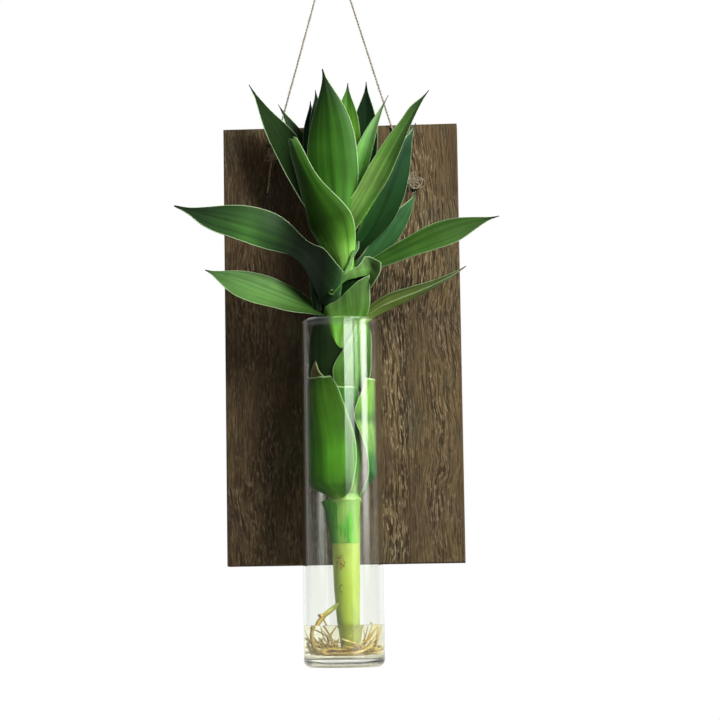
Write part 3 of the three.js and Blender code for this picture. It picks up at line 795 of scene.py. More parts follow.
# Height and radius
CANE_ROWS = [
    (CANE_FOOT, 4.3), (CANE_FOOT + 3, 4.8), (CANE_FOOT + 12, 5.6), (CANE_FOOT + 15, 7), (CANE_FOOT + 36, 8),
    (-140, 8.5), (-127, 9.2), (-116, 9.5), (CANE_COLLAR, 10.3), (-109, 9.4), (-70, 9), (-30, 8.8), (0, 8.4),
    (30, 7.2), (52, 5.4), (CANE_TOP, 3),
]
# Height and place of the middle
CANE_AXIS = [
    (CANE_FOOT, 3.1, 0), (-190, 2.9, 0), (-167, 2.2, 0), (-140, 2.1, 0), (-127, 1.5, 0), (-70, 1, 0),
    (0, 1.8, -0.5), (CANE_TOP, 3.6, -1.5),
]


def cane_centre(height):
    """The place of the cane's middle at a height."""
    heights = [row[0] for row in CANE_AXIS]
    return tuple(float(np.interp(height, heights, [row[k] for row in CANE_AXIS])) for k in (1, 2))


def cane_radius(height):
    return float(np.interp(height, [row[0] for row in CANE_ROWS], [row[1] for row in CANE_ROWS]))


def make_cane():
    spans = ((CANE_FOOT, CANE_TOP, 170), (-141, -137, 17), (-116, -109, 29))
    heights = np.unique(np.concatenate([np.linspace(*span) for span in spans]))
    points, tints = [], []
    for height in heights:
        cx, cy = cane_centre(height)
        radius = cane_radius(height)
        for i in range(CANE_SIDES):
            angle = 2 * math.pi * i / CANE_SIDES
            ragged = noise.noise(Vector((math.cos(angle) * 3, math.sin(angle) * 3, 1.7)))
            sheath = np.clip((height - CANE_SHEATH - 0.5 * ragged) / 0.35, 0, 1)
            rough = noise.noise(Vector((math.cos(angle) * 1.5, math.sin(angle) * 1.5, height * 0.05)))
            collar = math.exp(-(((height - CANE_COLLAR - 0.8 * ragged) / 0.9) ** 2))
            r = radius + 0.22 * sheath + 0.22 * rough + 0.35 * collar
            points.append(rim(cx + r * math.cos(angle), cy + r * math.sin(angle), height))
            tints.append((*COLLAR_TONE, 0.5 * collar))
    faces = tube_faces(len(heights), CANE_SIDES)
    build("cane_stem", points, faces, cane_material(), "plant", "green_cane", "cane", tint=tints)


def make_roots():
    floor = (VASE_BASE - VASE_HEIGHT) / MM + 0.3

    def up(points):
        return [np.array(rim(x, y, floor + z)) for x, y, z in points]

    roots = Bundle()
    tones = ((150, 172, 64), (208, 174, 76), (154, 106, 40), (230, 216, 150))
    green, gold, brown, pale = (srgb(*tone) for tone in tones)

    def strand(points, radii, tints, step=0.0008, sides=10):
        line = smooth_line(up(points), step)
        shares = np.linspace(0, 1, len(line))
        marks = np.linspace(0, 1, len(radii))
        radius = np.interp(shares, marks, radii) * MM
        radius = radius * (1 + 0.08 * np.sin(shares * 60) * np.sin(shares * 23))
        marks = np.linspace(0, 1, len(tints))
        colour = np.stack([np.interp(shares, marks, [t[k] for t in tints]) for k in range(3)], axis=1)
        roots.add(line, radius, sides, colour)

    loop = [(0, -3.5, 36), (-4.6, -5, 32), (-8.4, -6, 29), (-12.4, -7.5, 25.6), (-15.8, -8.5, 20), (-17, -9, 13.5)]
    loop += [(-15.4, -10.5, 6.5), (-9, -12.5, 3), (-1, -9, 3.5), (2, -4, 4)]
    strand(loop, [1.5, 1.35, 1.6, 1.4, 1.3, 1.3, 1.2, 1.1, 1], [green, green, gold, gold, gold, brown, brown])
    strand([(-12, -8, 25.5), (-13.6, -8.5, 26.4), (-14.8, -9, 26.8)], [1.1, 1.2, 0.7], [gold, brown])
    side_root = [(-12, -7.5, 24.5), (-9.5, -9, 19.5), (-6.5, -9.5, 14), (-4, -7, 8), (0, -4, 5)]
    strand(side_root, [0.55, 0.5, 0.6], [brown, gold])
    thick = [
        [(1, -2, 4), (-8, -4, 6), (-15, -2, 9), (-17.5, 4, 13)],
        [(2, -1, 3), (-4, -12, 2.5), (4, -17, 3), (12, -13, 5), (16, -6, 9)],
        [(4, 0, 4), (12, -2, 3), (17, -4, 10), (17.8, -3, 19), (16.5, -2, 22)],
        [(4, 1, 3), (10, 8, 3), (14, 10, 8)],
        [(2, 1, 3), (-6, 8, 2.5), (-13, 9, 4), (-16, 6, 10)],
        [(4, -2, 3), (8, -10, 6), (6, -15, 9), (0, -17.5, 12)],
        [(3, -2, 5), (10, -9, 8), (16, -9, 15), (18.2, -5, 20.5)],
        [(2, -3, 5), (-6, -9, 6), (-13, -12, 4), (-18, -7, 7)],
    ]
    for points in thick:
        strand(points, [1.1, 1.0, 0.9, 0.6], [brown, gold, gold, pale])
    chance = np.random.default_rng(21)
    for _ in range(THIN_ROOTS):
        heading = chance.uniform(0, 2 * math.pi)
        turn = chance.uniform(-1.6, 1.6)
        reach = chance.uniform(9, 20)
        climb = chance.choice([1.5, 5, 10, 17], p=[0.3, 0.3, 0.25, 0.15])
        points = [(ROOT_X + 2 * math.cos(heading), 2 * math.sin(heading), chance.uniform(2.5, 6))]
        for s in (0.3, 0.55, 0.8, 1.0):
            angle = heading + turn * s + chance.uniform(-0.3, 0.3)
            away = min(reach * s + 2, ROOT_LIMIT)
            height = 1.2 + climb * s**2 + chance.uniform(0, 2.2)
            points.append((1.5 * (1 - s) + away * math.cos(angle), away * math.sin(angle), height))
        tone = [brown, gold, pale, gold][chance.integers(4)]
        size = chance.uniform(0.22, 0.55)
        strand(points, [size * 1.3, size, size * 0.6], [tone, gold, pale], 0.0012, 6)
    for i in range(CROWN_ROOTS):
        angle, away = 2 * math.pi * i / CROWN_ROOTS, chance.uniform(3.2, 5.4)
        x, y = ROOT_X + away * math.cos(angle), away * math.sin(angle)
        start = (ROOT_X + 1.5 * math.cos(angle), 1.5 * math.sin(angle), 7.5)
        strand([start, (x, y, 5.5), (x * 1.3, y * 1.5, 1.6)], [1.5, 1.5, 0.9], [gold, brown, gold])
    roots.make("root_tangle", root_material(), "plant", "root_fibre", "roots")


# Leaves in millimetres from the rim's centre. Each has its midrib's four points, the way its upper side
# faces at base and tip, its width and neck, how far it is cupped or folded, where it is widest, how it tapers,
# how blunt and torn its tip is, where one side bulges (side, place, spread, size), where the pale margin,
# partly a painted highlight along the edge, starts at left and right (bare), rows of points where it clasps
# the stem, its screen colours from base to tip (tones) and its painted shading from left to right (across),
# which makes one side lighter or darker as light would fall on it.

LEAVES = [
    dict(
        name="leaf_front_left", slot="leaf_green",
        midrib=[(3.5, -7.5, 24), (3, -18, 55), (-18, -26, 83), (-27, -21, 112)],
        face=[(0.2, 0.95, 0.2), (0.4, 0.85, 0.3)],
        width=30, neck=11, cup=0.3, peak=0.4, taper=(1, 1), tip=0.22, torn=1.2,
        bulge=[(1, 0.68, 0.2, -3.4)],
        tones=[
            (0, 168, 234, 106), (0.18, 158, 226, 96), (0.27, 100, 162, 54), (0.4, 57, 101, 23), (0.75, 52, 95, 25),
            (0.92, 66, 110, 42), (1, 96, 140, 72),
        ],
        across=[(0, 1.2), (0.25, 0.95), (0.8, 0.95), (1, 1.3)],
    ),
    dict(
        name="leaf_front_right", slot="leaf_bright",
        midrib=[(5, -5, 56), (26.5, -17, 84), (40, -20, 115.5), (59, -17.5, 141)],
        face=[(-0.35, -0.85, 0.4), (-0.5, -0.75, 0.4)],
        width=17, neck=18, cup=0.3, peak=0.3, taper=(2.6, 1.6),
        bulge=[(-1, 0.36, 0.22, 3.5), (1, 0.86, 0.08, 2)],
        tones=[(0, 190, 244, 130), (0.3, 196, 250, 134), (0.5, 134, 192, 88), (0.8, 78, 118, 56), (1, 40, 50, 36)],
    ),
    dict(
        name="leaf_centre", slot="leaf_green",
        midrib=[(3, -5, 50), (-3, -14, 85), (-0.5, -9, 124), (-8.5, -2, 160)],
        face=[(0, 1, 0.2), (0.1, 1, 0.2)],
        width=30, neck=10, cup=0.26, peak=0.42,
        bulge=[(-1, 0.5, 0.22, 2)],
        tones=[(0, 74, 130, 42), (0.4, 66, 122, 36), (0.7, 52, 98, 28), (0.88, 34, 58, 24), (1, 28, 40, 24)],
        across=[(0, 0.75), (0.3, 1), (0.7, 1), (1, 1.2)],
    ),
    dict(
        name="leaf_right_dark", slot="leaf_dark",
        midrib=[(8, -3, 42), (34, -9, 61), (36, -9, 90), (50, -4.5, 123)],
        face=[(-0.6, 0.7, 0.3), (-0.5, 0.8, 0.2)],
        width=24, neck=10, cup=0.28, peak=0.42,
        tones=[(0, 38, 78, 34), (0.5, 26, 62, 24), (0.85, 36, 74, 44), (1, 60, 100, 76)],
        across=[(0, 1.6), (0.2, 1.1), (0.5, 0.8), (1, 0.9)],
    ),
    dict(
        name="leaf_right_pale", slot="leaf_bright",
        midrib=[(6, -1.5, 60), (12, 0, 88), (17.5, 0, 114), (33, -2, 142)],
        face=[(-0.3, -0.9, 0.3), (-0.4, -0.8, 0.3)],
        width=13, neck=5, cup=0.25, peak=0.42, taper=(2.5, 2),
        tones=[(0, 118, 200, 74), (0.5, 148, 228, 106), (0.85, 168, 216, 144), (1, 90, 90, 70)],
    ),
    dict(
        name="leaf_back_bright", slot="leaf_bright",
        midrib=[(4, 2, 55), (6, 9, 92), (5, 9, 126), (7, 6.5, 152.5)],
        face=[(0, -1, 0.2), (0, -1, 0.2)],
        width=18, neck=7, cup=0.25, peak=0.5,
        tones=[(0, 104, 160, 46), (0.6, 126, 190, 62), (0.9, 72, 126, 46), (1, 52, 66, 44)],
    ),
    dict(
        name="leaf_back_left_tall", slot="leaf_dark",
        midrib=[(1.5, 2, 53), (-5, 10, 92), (-12, 9, 122), (-13.7, 6.5, 148.5)],
        face=[(0.1, -1, 0.2), (0.1, -1, 0.2)],
        width=17, neck=7, cup=0.22, peak=0.5,
        tones=[(0, 60, 110, 60), (0.62, 104, 146, 116), (0.8, 46, 74, 50), (1, 30, 44, 32)],
    ),
    dict(
        name="leaf_back_left_short", slot="leaf_dark",
        midrib=[(0, 3, 48), (-9, 14, 86), (-18, 14, 116), (-17.4, 11, 142.5)],
        face=[(0.2, -1, 0.2), (0.2, -1, 0.2)],
        width=17, neck=8, cup=0.2, peak=0.5,
        tones=[(0, 50, 96, 56), (0.7, 96, 138, 112), (0.86, 36, 60, 42), (1, 26, 40, 30)],
    ),
    dict(
        name="leaf_back_dark", slot="leaf_dark",
        midrib=[(5.5, 3, 48), (14, 14, 88), (18, 14, 122), (18.4, 10.5, 153.7)],
        face=[(-0.1, -1, 0.2), (-0.1, -1, 0.2)],
        width=19, neck=8, cup=0.2, peak=0.5,
        tones=[(0, 30, 66, 28), (0.7, 26, 54, 26), (1, 20, 32, 22)],
    ),
    dict(
        name="leaf_left_dark", slot="leaf_dark",
        midrib=[(-2, 1, 43), (-18, 9, 86), (-35, 11, 118), (-56.5, 10.5, 154)],
        face=[(0.3, -0.9, 0.3), (0.4, -0.85, 0.3)],
        width=21, neck=10, cup=0.22, peak=0.5,
        bulge=[(-1, 0.82, 0.12, -2.5)],
        tones=[(0, 10, 22, 5), (0.5, 16, 34, 7), (0.8, 30, 56, 15), (1, 28, 40, 26)],
    ),
    dict(
        name="leaf_left_thin", slot="leaf_dark",
        midrib=[(0.5, 4, 44), (-9, 17, 88), (-24, 17, 116), (-38.3, 14, 141.6)],
        face=[(0.3, -0.9, 0.3), (0.3, -0.9, 0.3)],
        width=12, neck=6, cup=0.25, peak=0.5,
        tones=[(0, 40, 78, 34), (0.7, 48, 80, 42), (1, 36, 42, 32)],
    ),
    dict(
        name="leaf_right_back", slot="leaf_dark",
        midrib=[(8, 2, 29), (24, 8, 42), (38, 9, 60), (49.5, 7, 81.5)],
        face=[(-0.5, 0.7, 0.4), (-0.5, 0.8, 0.3)],
        width=15, neck=9, cup=0.25, peak=0.5,
        tones=[(0, 36, 70, 30), (0.6, 56, 104, 56), (1, 76, 124, 78)],
    ),
    dict(
        name="leaf_left_long", slot="leaf_green",
        midrib=[(-3, -4, 28), (-26.5, -12, 56), (-58.5, -18, 58), (-101, -19, 72)],
        face=[(0.4, -0.7, 0.6), (0.05, -0.95, 0.3)],
        width=29, neck=15, cup=0.16, peak=0.48, taper=(2.5, 2),
        bulge=[(1, 0.84, 0.12, 4), (-1, 0.22, 0.14, -5)], bare=(-0.2, 0.36),
        clasp=[
            [(4.1, -15.2, 28.4), (3.2, -14.9, 22.4), (2.3, -14.4, 16), (1.4, -13.6, 9.8), (0.5, -12.5, 3.5)],
            [(-1.1, -15, 35), (-2.4, -14.6, 28), (-3.6, -14, 20.5), (-4.8, -13, 13.2), (-6, -11.5, 6)],
            [(-7.6, -13.6, 43.2), (-8.4, -14.2, 36.5), (-9.4, -14.4, 28), (-10.2, -13.8, 19.5), (-11, -12, 11.4)],
            [(-13, -12, 46), (-13.8, -13.4, 42), (-14.6, -15.2, 36), (-15.4, -16.3, 29), (-15.9, -16.5, 21.9)],
            [(-17.8, -9.2, 48.8), (-18.6, -10.8, 46), (-19.4, -13.5, 42), (-20.5, -17.5, 37.5), (-21.5, -19.5, 32.5)],
        ],
        # The near-black stretch from a little past the base to nearly the middle is painted shade
        tones=[
            (0, 66, 106, 60), (0.07, 30, 54, 24), (0.14, 11, 22, 8), (0.36, 10, 22, 8), (0.43, 18, 38, 13),
            (0.5, 32, 62, 23), (0.63, 56, 97, 40), (0.84, 34, 60, 27), (0.93, 28, 50, 23), (1, 40, 44, 36),
        ],
    ),
    dict(
        name="leaf_right_long", slot="leaf_green",
        midrib=[(8, -2.5, 28.5), (41, -9, 39.5), (69, -17, 54.5), (101, -18, 60.5)],
        face=[(-0.3, -0.6, 0.75), (0, -0.85, 0.5)],
        width=22, neck=12, cup=0.18, peak=0.48, taper=(2.5, 2),
        bulge=[(-1, 0.7, 0.2, 4.5)],
        tones=[(0, 58, 98, 36), (0.5, 72, 114, 46), (0.88, 60, 92, 41), (0.95, 38, 46, 32), (1, 34, 34, 30)],
    ),
    dict(
        name="leaf_left_low", slot="leaf_green",
        midrib=[(-4, -4, 4), (-29, -13, 8.5), (-56, -18, 23), (-82, -18, 31.3)],
        face=[(0.3, -0.6, 0.75), (0, -0.9, 0.45)],
        width=24, neck=12, cup=0.16, peak=0.46, taper=(2.5, 2),
        bulge=[(1, 0.75, 0.26, 4.5)],
        tones=[(0, 22, 38, 12), (0.25, 58, 92, 38), (0.5, 98, 144, 72), (0.9, 78, 116, 60), (1, 60, 64, 50)],
    ),
    dict(
        name="leaf_right_low", slot="leaf_green",
        midrib=[(14, -6, -4), (33, -11.5, 8.5), (58, -12, 13), (80, -16, 30.2)],
        face=[(-0.3, -0.45, 0.85), (-0.2, -0.45, 0.85)],
        width=17, neck=13, cup=0.75, fold=1.2, peak=0.3, taper=(1.4, 1.1),
        # Painted shading: the upper side of the fold darker and the lower side lighter
        across=[(0, 1.3), (0.42, 1.1), (0.56, 0.5), (1, 0.3)],
        tones=[
            (0, 164, 200, 88), (0.3, 168, 196, 104), (0.88, 124, 150, 82), (0.95, 150, 130, 90),
            (1, 168, 140, 104),
        ],
    ),
]

# Blades given as rows of points, base first and left to right. Some have a cut end with a painted highlight
# line along it, some show the pale margin, partly a painted highlight, on one side only (edges), and those
# without a solid of their own say node=None. Their brightness from left to right (across) is painted shading.
PATCHES = [
    dict(
        name="leaf_front_stub", slot="leaf_bright", cut=True,
        rows=[
            [(-2.6, -9.2, -21), (-1.6, -9.8, -21.3), (-0.6, -10, -21.5),
             (0.4, -10, -21.5), (1.4, -9.8, -21.3), (2.4, -9.4, -21)],
            [(-6.5, -8.3, -9), (-3.5, -10.8, -9), (0.5, -12, -8.5),
             (5, -12.5, -7.5), (9.5, -11.8, -6.5), (14.5, -9.5, -6)],
            [(-9, -8.8, -1.5), (-5, -11.8, -1.5), (1.5, -14.5, -0.5),
             (8.5, -16, 2), (14, -16, 4.5), (19.6, -14, 6)],
            [(-9.3, -9.3, 2.5), (-6.2, -12.2, 4.5), (0.8, -15.4, 5.6),
             (8, -17, 9.8), (14, -17, 14.2), (20.2, -15.4, 17)],
            [(-9.2, -9.5, 3.4), (-7, -12.5, 7.6), (0.1, -15.5, 10.6),
             (6.8, -17.4, 17.1), (14.1, -17.5, 22.9), (20, -16.2, 26)],
        ],
        # Painted shading: a painted highlight left of the middle and the right part darker, as if turned from the
        # light
        across=[(0, 0.6), (0.12, 0.8), (0.3, 1.5), (0.42, 1.05), (0.7, 0.85), (0.88, 0.62), (1, 0.5)],
        tones=[(0, 150, 214, 94), (0.35, 124, 188, 76), (0.55, 104, 154, 66), (1, 104, 150, 74)],
    ),
    dict(
        name="leaf_front_curl", slot="leaf_bright", cut=True,
        rows=[
            [
                (-3.2, -17, 17), (-5.4, -17, 15.8), (-3.8, -16.6, 14.4), (-1.6, -15.6, 15.9), (4.1, -15, 22.3),
                (9.4, -14.6, 24), (14.1, -14.6, 25.1), (19.3, -14.4, 26), (19.8, -16, 22.5), (21.2, -19, 17.6),
            ],
            [
                (-3.2, -16.2, 17.1), (-5.5, -16.2, 16), (-3.9, -15.8, 14.5), (-1.6, -15, 16), (4.1, -14.4, 23.6),
                (9.4, -14.2, 26.2), (13.9, -14.5, 27.4), (19.7, -14, 28.6), (22, -17, 25.5), (24.2, -20.5, 22),
            ],
            [
                (-3.1, -15.4, 17.2), (-5.5, -15.4, 16.2), (-3.9, -15, 14.6), (-1.6, -14.4, 16.1),
                (4.2, -13.8, 25.2), (9.4, -13.8, 28.4), (13.7, -14.2, 29.6), (20.6, -13.8, 31.6),
                (24, -17.2, 29.5), (27, -21, 27),
            ],
            [
                (-3, -14.6, 17.3), (-5.4, -14.6, 16.3), (-3.9, -14.2, 14.7), (-1.6, -13.8, 16.2),
                (4.2, -13.2, 26.7), (9.5, -13.4, 30.6), (13.5, -14, 32), (17.4, -13.6, 38), (23, -15.6, 36.4),
                (27.7, -19.5, 33),
            ],
        ],
        across=[(0, 0.45), (0.3, 0.7), (0.45, 1), (0.74, 1.05), (0.84, 0.5), (1, 0.62)],
        tones=[(0, 92, 142, 62), (0.5, 112, 156, 80), (1, 128, 166, 96)],
    ),
    dict(
        name="leaf_right_collar", slot="leaf_bright", node=None, edges=(0, 1),
        rows=[
            [(2.5, -12.4, 24), (4.2, -12.8, 24.5), (6, -12.6, 26)],
            [(3.6, -13, 28), (5.5, -13.3, 29), (7.6, -12.8, 30.5)],
            [(6.2, -13.3, 33), (7.8, -13.5, 33.2), (9.4, -12.8, 33.8)],
            [(7.8, -13.3, 37.5), (9, -13.3, 37.8), (10.5, -12.4, 38.2)],
            [(8.6, -12.8, 43), (10.6, -12.6, 43.2), (13.4, -11, 43.5)],
            [(9.8, -12, 48), (11.2, -11.5, 48), (13.4, -9, 48.5)],
        ],
        tones=[(0, 130, 184, 96), (0.5, 136, 184, 108), (0.8, 80, 120, 60), (1, 40, 70, 30)],
    ),
    # A dark sheet behind the stub and the curl; its near-black green is painted shade in the gap between them
    dict(
        name="stub_lining_shade", slot="leaf_dark", node=None, edges=(0, 0),
        rows=[
            [(-2, -11, 4), (8, -12.5, 4), (15, -11.5, 5), (18.5, -9, 6)],
            [(0, -12.2, 15), (8, -13, 15), (15, -12, 16), (19, -9, 16)],
            [(3, -12.4, 25), (9, -12.8, 27), (15, -11.8, 29), (19, -9, 31)],
        ],
        tones=[(0, 14, 40, 8), (1, 14, 42, 10)],
    ),
    dict(
        name="leaf_small_tip", slot="leaf_dark", node=None,
        rows=[
            [(-15, -7.5, 3), (-12.5, -8.5, 3), (-10, -8, 3)],
            [(-16.5, -8.5, 12), (-14, -9.5, 12), (-11.5, -9, 12)],
            [(-17.4, -9, 20), (-15.8, -9.6, 20), (-14, -9.2, 20)],
            [(-18, -9, 28), (-17.8, -9.2, 28), (-17.5, -9, 28)],
        ],
        tones=[(0, 18, 34, 16), (0.6, 44, 68, 44), (1, 90, 110, 86)],
    ),
    dict(
        name="leaf_low_sheath", slot="leaf_green", node=None,
        rows=[
            [(-1.5, -13, -46), (4.5, -14.2, -46), (10.5, -12, -46), (16, -7.5, -46)],
            [(-3.4, -15, -32), (5, -17, -33), (12, -15, -33), (18.8, -8.5, -34)],
            [(3, -15.5, -20), (9, -16, -21), (14, -13.5, -22), (19.2, -8, -23)],
            [(8.3, -14.5, -10.5), (12, -14, -11), (16, -11.5, -12), (19.4, -7.5, -13)],
            [(11, -11.5, -1), (14, -11, -1.5), (17, -9, -2), (18.5, -6.5, -2.5)],
        ],
        across=[(0, 1), (0.6, 1), (0.85, 0.5), (1, 0.3)],
        tones=[(0, 92, 142, 58), (0.5, 98, 150, 62), (1, 112, 160, 72)],
    ),
]


def wall_row(height, left, right, radius):
    """Points at one height on an upright round wall, between two places left and right of its middle."""
    angles = np.linspace(math.asin(left / radius), math.asin(right / radius), 6)
    return [(radius * math.sin(a), -radius * math.cos(a), height) for a in angles]


def wall_patch(name, slot, rows, tones, **more):
    """A blade that lies along the glass's wall or the cane's."""
    return dict(name=name, slot=slot, rows=[wall_row(*row) for row in rows], tones=tones, **more)


PATCHES += [
    wall_patch(
        "inner_leaf_left", "leaf_green",
        [
            (-111, -6, 2, 10.9),
            (-108.5, -11, 5, 14),
            (-105, -17, 7, 18.5),
            (-101, -20.8, 8.3, 21.2),
            (-90, -21.2, 10.2, 21.4),
            (-77, -21.2, 9.8, 21.4),
            (-66, -21.2, 7.3, 21.4),
            (-54, -21.2, 3.4, 21.4),
            (-43, -20.6, -0.4, 21.4),
            (-37, -18.4, -4.3, 21.4),
        ],
        [(0, 110, 150, 60), (0.12, 78, 130, 36), (0.5, 76, 136, 34), (0.8, 72, 116, 30), (1, 62, 96, 28)],
        across=[(0, 0.45), (0.25, 0.6), (0.5, 1.0), (0.7, 1.15), (0.82, 0.75), (1, 0.9)],
        cut=True,
    ),
    dict(
        name="inner_leaf_right", slot="leaf_green", cut=True,
        rows=[
            [(10.4, -3.5, -111), (11, 0, -111), (10.4, 3.5, -111)],
            [(13, -6, -106), (14.6, -2, -106), (14.8, 2.5, -106)],
            [(15.4, -10.5, -101), (17.8, -6.5, -101), (18.6, -1, -101)],
            *[
                wall_row(height, left, 21.2, 21.4)
                for height, left in (
                    (-97, 16.5), (-90, 16.6), (-82, 15.5), (-72, 12.5), (-62, 9.2), (-53, 11), (-46, 14), (-38, 16),
                )
            ],
        ],
        across=[(0, 1.25), (0.6, 1), (0.85, 0.7), (1, 0.6)],
        tones=[
            (0, 96, 140, 60), (0.3, 46, 96, 50), (0.44, 62, 118, 56), (0.51, 104, 146, 72),
            (0.65, 124, 158, 88), (0.69, 70, 106, 50), (0.75, 98, 140, 58), (1, 112, 150, 66),
        ],
    ),
    wall_patch(
        "inner_leaf_middle", "leaf_bright",
        [
            (-108, 3, 8, 10.9),
            (-100, 1, 11, 13),
            (-86, -1, 12.6, 15.5),
            (-70, -2, 11.6, 16.5),
            (-56, -2.5, 11.4, 16.5),
            (-43, -3, 11.6, 16.5),
        ],
        [(0, 150, 186, 90), (0.3, 100, 162, 62), (0.55, 64, 130, 38), (1, 64, 130, 38)],
        across=[(0, 0.6), (0.5, 1), (0.9, 1), (1, 0.5)],
        cut=True,
    ),
    wall_patch(
        "inner_leaf_dry_tip", "leaf_green",
        [(-38.5, -16.4, -6.8, 20.6), (-34, -16.6, -11, 20.4), (-30, -15.6, -12.6, 20.2), (-26.6, -14.2, -13.6, 20)],
        [(0, 84, 84, 38), (0.4, 92, 74, 40), (1, 120, 104, 70)],
        node=None,
    ),
    dict(
        name="cane_sheath", slot="leaf_bright", node=None, edges=(1, 0),
        rows=[
            [
                (
                    x + (r + flare * wide) * math.cos(math.radians(a)),
                    1 + (r + flare * wide) * math.sin(math.radians(a)),
                    z + lean * (a - 140),
                )
                for a, wide in ((140, 1), (170, 1), (200, 0.75), (230, 0.25), (260, 0), (290, 0), (320, 0))
            ]
            for z, x, r, flare, lean in (
                (-139, 2.1, 9.3, 0, 0),
                (-133, 1.8, 9.7, 0, 0),
                (-127, 1.5, 10, 0.3, 0),
                (-120, 1.5, 10.1, 1.6, 0.01),
                (-114, 1.5, 10.3, 4.4, 0.025),
            )
        ],
        # Painted light: the sheath's right side lighter
        across=[(0, 0.75), (0.4, 0.95), (0.55, 1.45), (0.8, 1.6), (1, 2)],
        tones=[(0, 80, 140, 48), (1, 86, 146, 56)],
    ),
    dict(
        name="leaf_left_sheath", slot="leaf_dark", node=None,
        rows=[
            [(-19.6, -2, -62), (-16, -9, -62), (-9, -12, -62), (1, -11.5, -62)],
            [(-19.8, -2, -40), (-16, -10, -40), (-8, -13, -40), (6, -11.8, -40)],
            [(-19.4, -1, -20), (-15.5, -9, -20), (-8.5, -11.5, -20), (4, -10.6, -22)],
            [(-17.5, 0, -4), (-14, -7, -3), (-9, -10, -2), (-4, -9.5, -4)],
            [(-12, -2, 12), (-10.5, -6, 12), (-7.5, -8.5, 12), (-4.5, -8, 10)],
        ],
        tones=[(0, 22, 40, 12), (0.5, 24, 42, 12), (0.8, 22, 40, 12), (1, 16, 30, 10)],
    ),
]

LEAF_STEPS = 64
LEAF_STRIPS = 22
LEAF_PLACES = [(1 - math.cos(math.pi * i / LEAF_STRIPS)) / 2 for i in range(LEAF_STRIPS + 1)]
LEAF_THICKNESS = 0.9
LEAF_TIP = 0.03
LEAF_RIPPLE = 0.028
LEAF_EDGE_THINNER = 0.72
LEAF_SLIMMEST = 0.35
CHANNEL_DEPTH, CHANNEL_WIDTH = 0.3, 1.1
TORN_FROM, TORN_LENGTH = 0.94, 0.06
CUT_FROM, CUT_LENGTH, CUT_DEPTH = 0.9, 0.1, 0.7
CLASP_TO, CLASP_EVERY = 19, 5
NEEDLE_FROM, NEEDLE_LENGTH = 0.965, 0.03
NEEDLE_TONE = np.array(srgb(46, 36, 30))
# Width, easing and strength of the pale margin, which is partly a painted highlight along the edge
MARGIN_GLINT_WIDTH, MARGIN_GLINT_EASE, MARGIN_GLINT_SHARE = 0.42, 0.2, 0.85


def leaf_half(leaf, share, side):
    """Half the blade's width on one side: a neck, a full middle and a drawn-out tip."""
    half = leaf["width"] / 2
    tip = leaf.get("tip", LEAF_TIP)
    fullness, point = leaf.get("taper", (3, 2))
    if share < leaf["peak"]:
        rise = math.sin(share / leaf["peak"] * math.pi / 2) ** 2
        wide = leaf["neck"] / 2 + (half - leaf["neck"] / 2) * rise
    else:
        left = (share - leaf["peak"]) / (1 - leaf["peak"])
        wide = half * (tip + (1 - tip) * (1 - left**fullness) ** point)
    for where, centre, spread, size in leaf.get("bulge", []):
        if where == side:
            wide += size * math.exp(-(((share - centre) / spread) ** 2)) * (1 - share**10)
    return max(wide, 0.2)


def bezier(points, share):
    """The place and the direction at a share of the curve that four points draw."""
    p = [np.array(q, dtype=float) for q in points]
    s, r = share, 1 - share
    place = r**3 * p[0] + 3 * r * r * s * p[1] + 3 * r * s * s * p[2] + s**3 * p[3]
    along = 3 * r * r * (p[1] - p[0]) + 6 * r * s * (p[2] - p[1]) + 3 * s * s * (p[3] - p[2])
    return place, along / np.linalg.norm(along)


def unit(vector):
    vector = np.array(vector, dtype=float)
    return vector / np.linalg.norm(vector)


def through(points, places):
    """Points at places from 0 to 1 on the smooth curve through a few given ones."""
    given = with_ends(points)
    spans = len(given) - 3
    line = []
    for place in places:
        t = min(place * spans, spans - 1e-9)
        k, s = int(t), t - int(t)
        p0, p1, p2, p3 = given[k : k + 4]
        line.append(
            0.5
            * (
                2 * p1
                + (p2 - p0) * s
                + (2 * p0 - 5 * p1 + 4 * p2 - p3) * s * s
                + (3 * p1 - p0 - 3 * p2 + p3) * s**3
            )
        )
    return line


def blade_grid(leaf, seed):
    """Middle points of a blade and its upper side's direction, by step along and strip across."""
    face_base, face_tip = (unit(face) for face in leaf["face"])
    fold = leaf.get("fold", 2)
    grid, normals = [], []
    for step in range(LEAF_STEPS + 1):
        share = step / LEAF_STEPS
        centre, along = bezier(leaf["midrib"], share)
        facing = face_base + (face_tip - face_base) * share
        normal = unit(facing - along * np.dot(facing, along))
        sideways = np.cross(normal, along)
        torn = leaf.get("torn", 0) * max(0, (share - TORN_FROM) / TORN_LENGTH)
        row = []
        for place in LEAF_PLACES:
            u = 2 * place - 1
            side = 1 if u > 0 else -1
            half = leaf_half(leaf, share, side)
            x = u * half
            channel = CHANNEL_DEPTH * math.exp(-((x / CHANNEL_WIDTH) ** 2)) * min(1, half / 4)
            wave = math.sin(2 * math.pi * (1.7 * share + 0.21 * seed + 0.35 * side))
            wave += 0.5 * math.sin(2 * math.pi * (4.3 * share + 0.37 * seed + 0.2 * side))
            ripple = LEAF_RIPPLE * half * abs(u) ** 2.5 * wave * math.sin(math.pi * min(1, share * 1.2))
            lift = leaf["cup"] * half * abs(u) ** fold + ripple - channel
            jag = torn * noise.noise(Vector((u * 4, seed, 0.5))) * 2
            row.append(centre + sideways * x + normal * lift + along * jag)
        grid.append(row)
        normals.append([normal] * (LEAF_STRIPS + 1))
    return np.array(grid), np.array(normals)


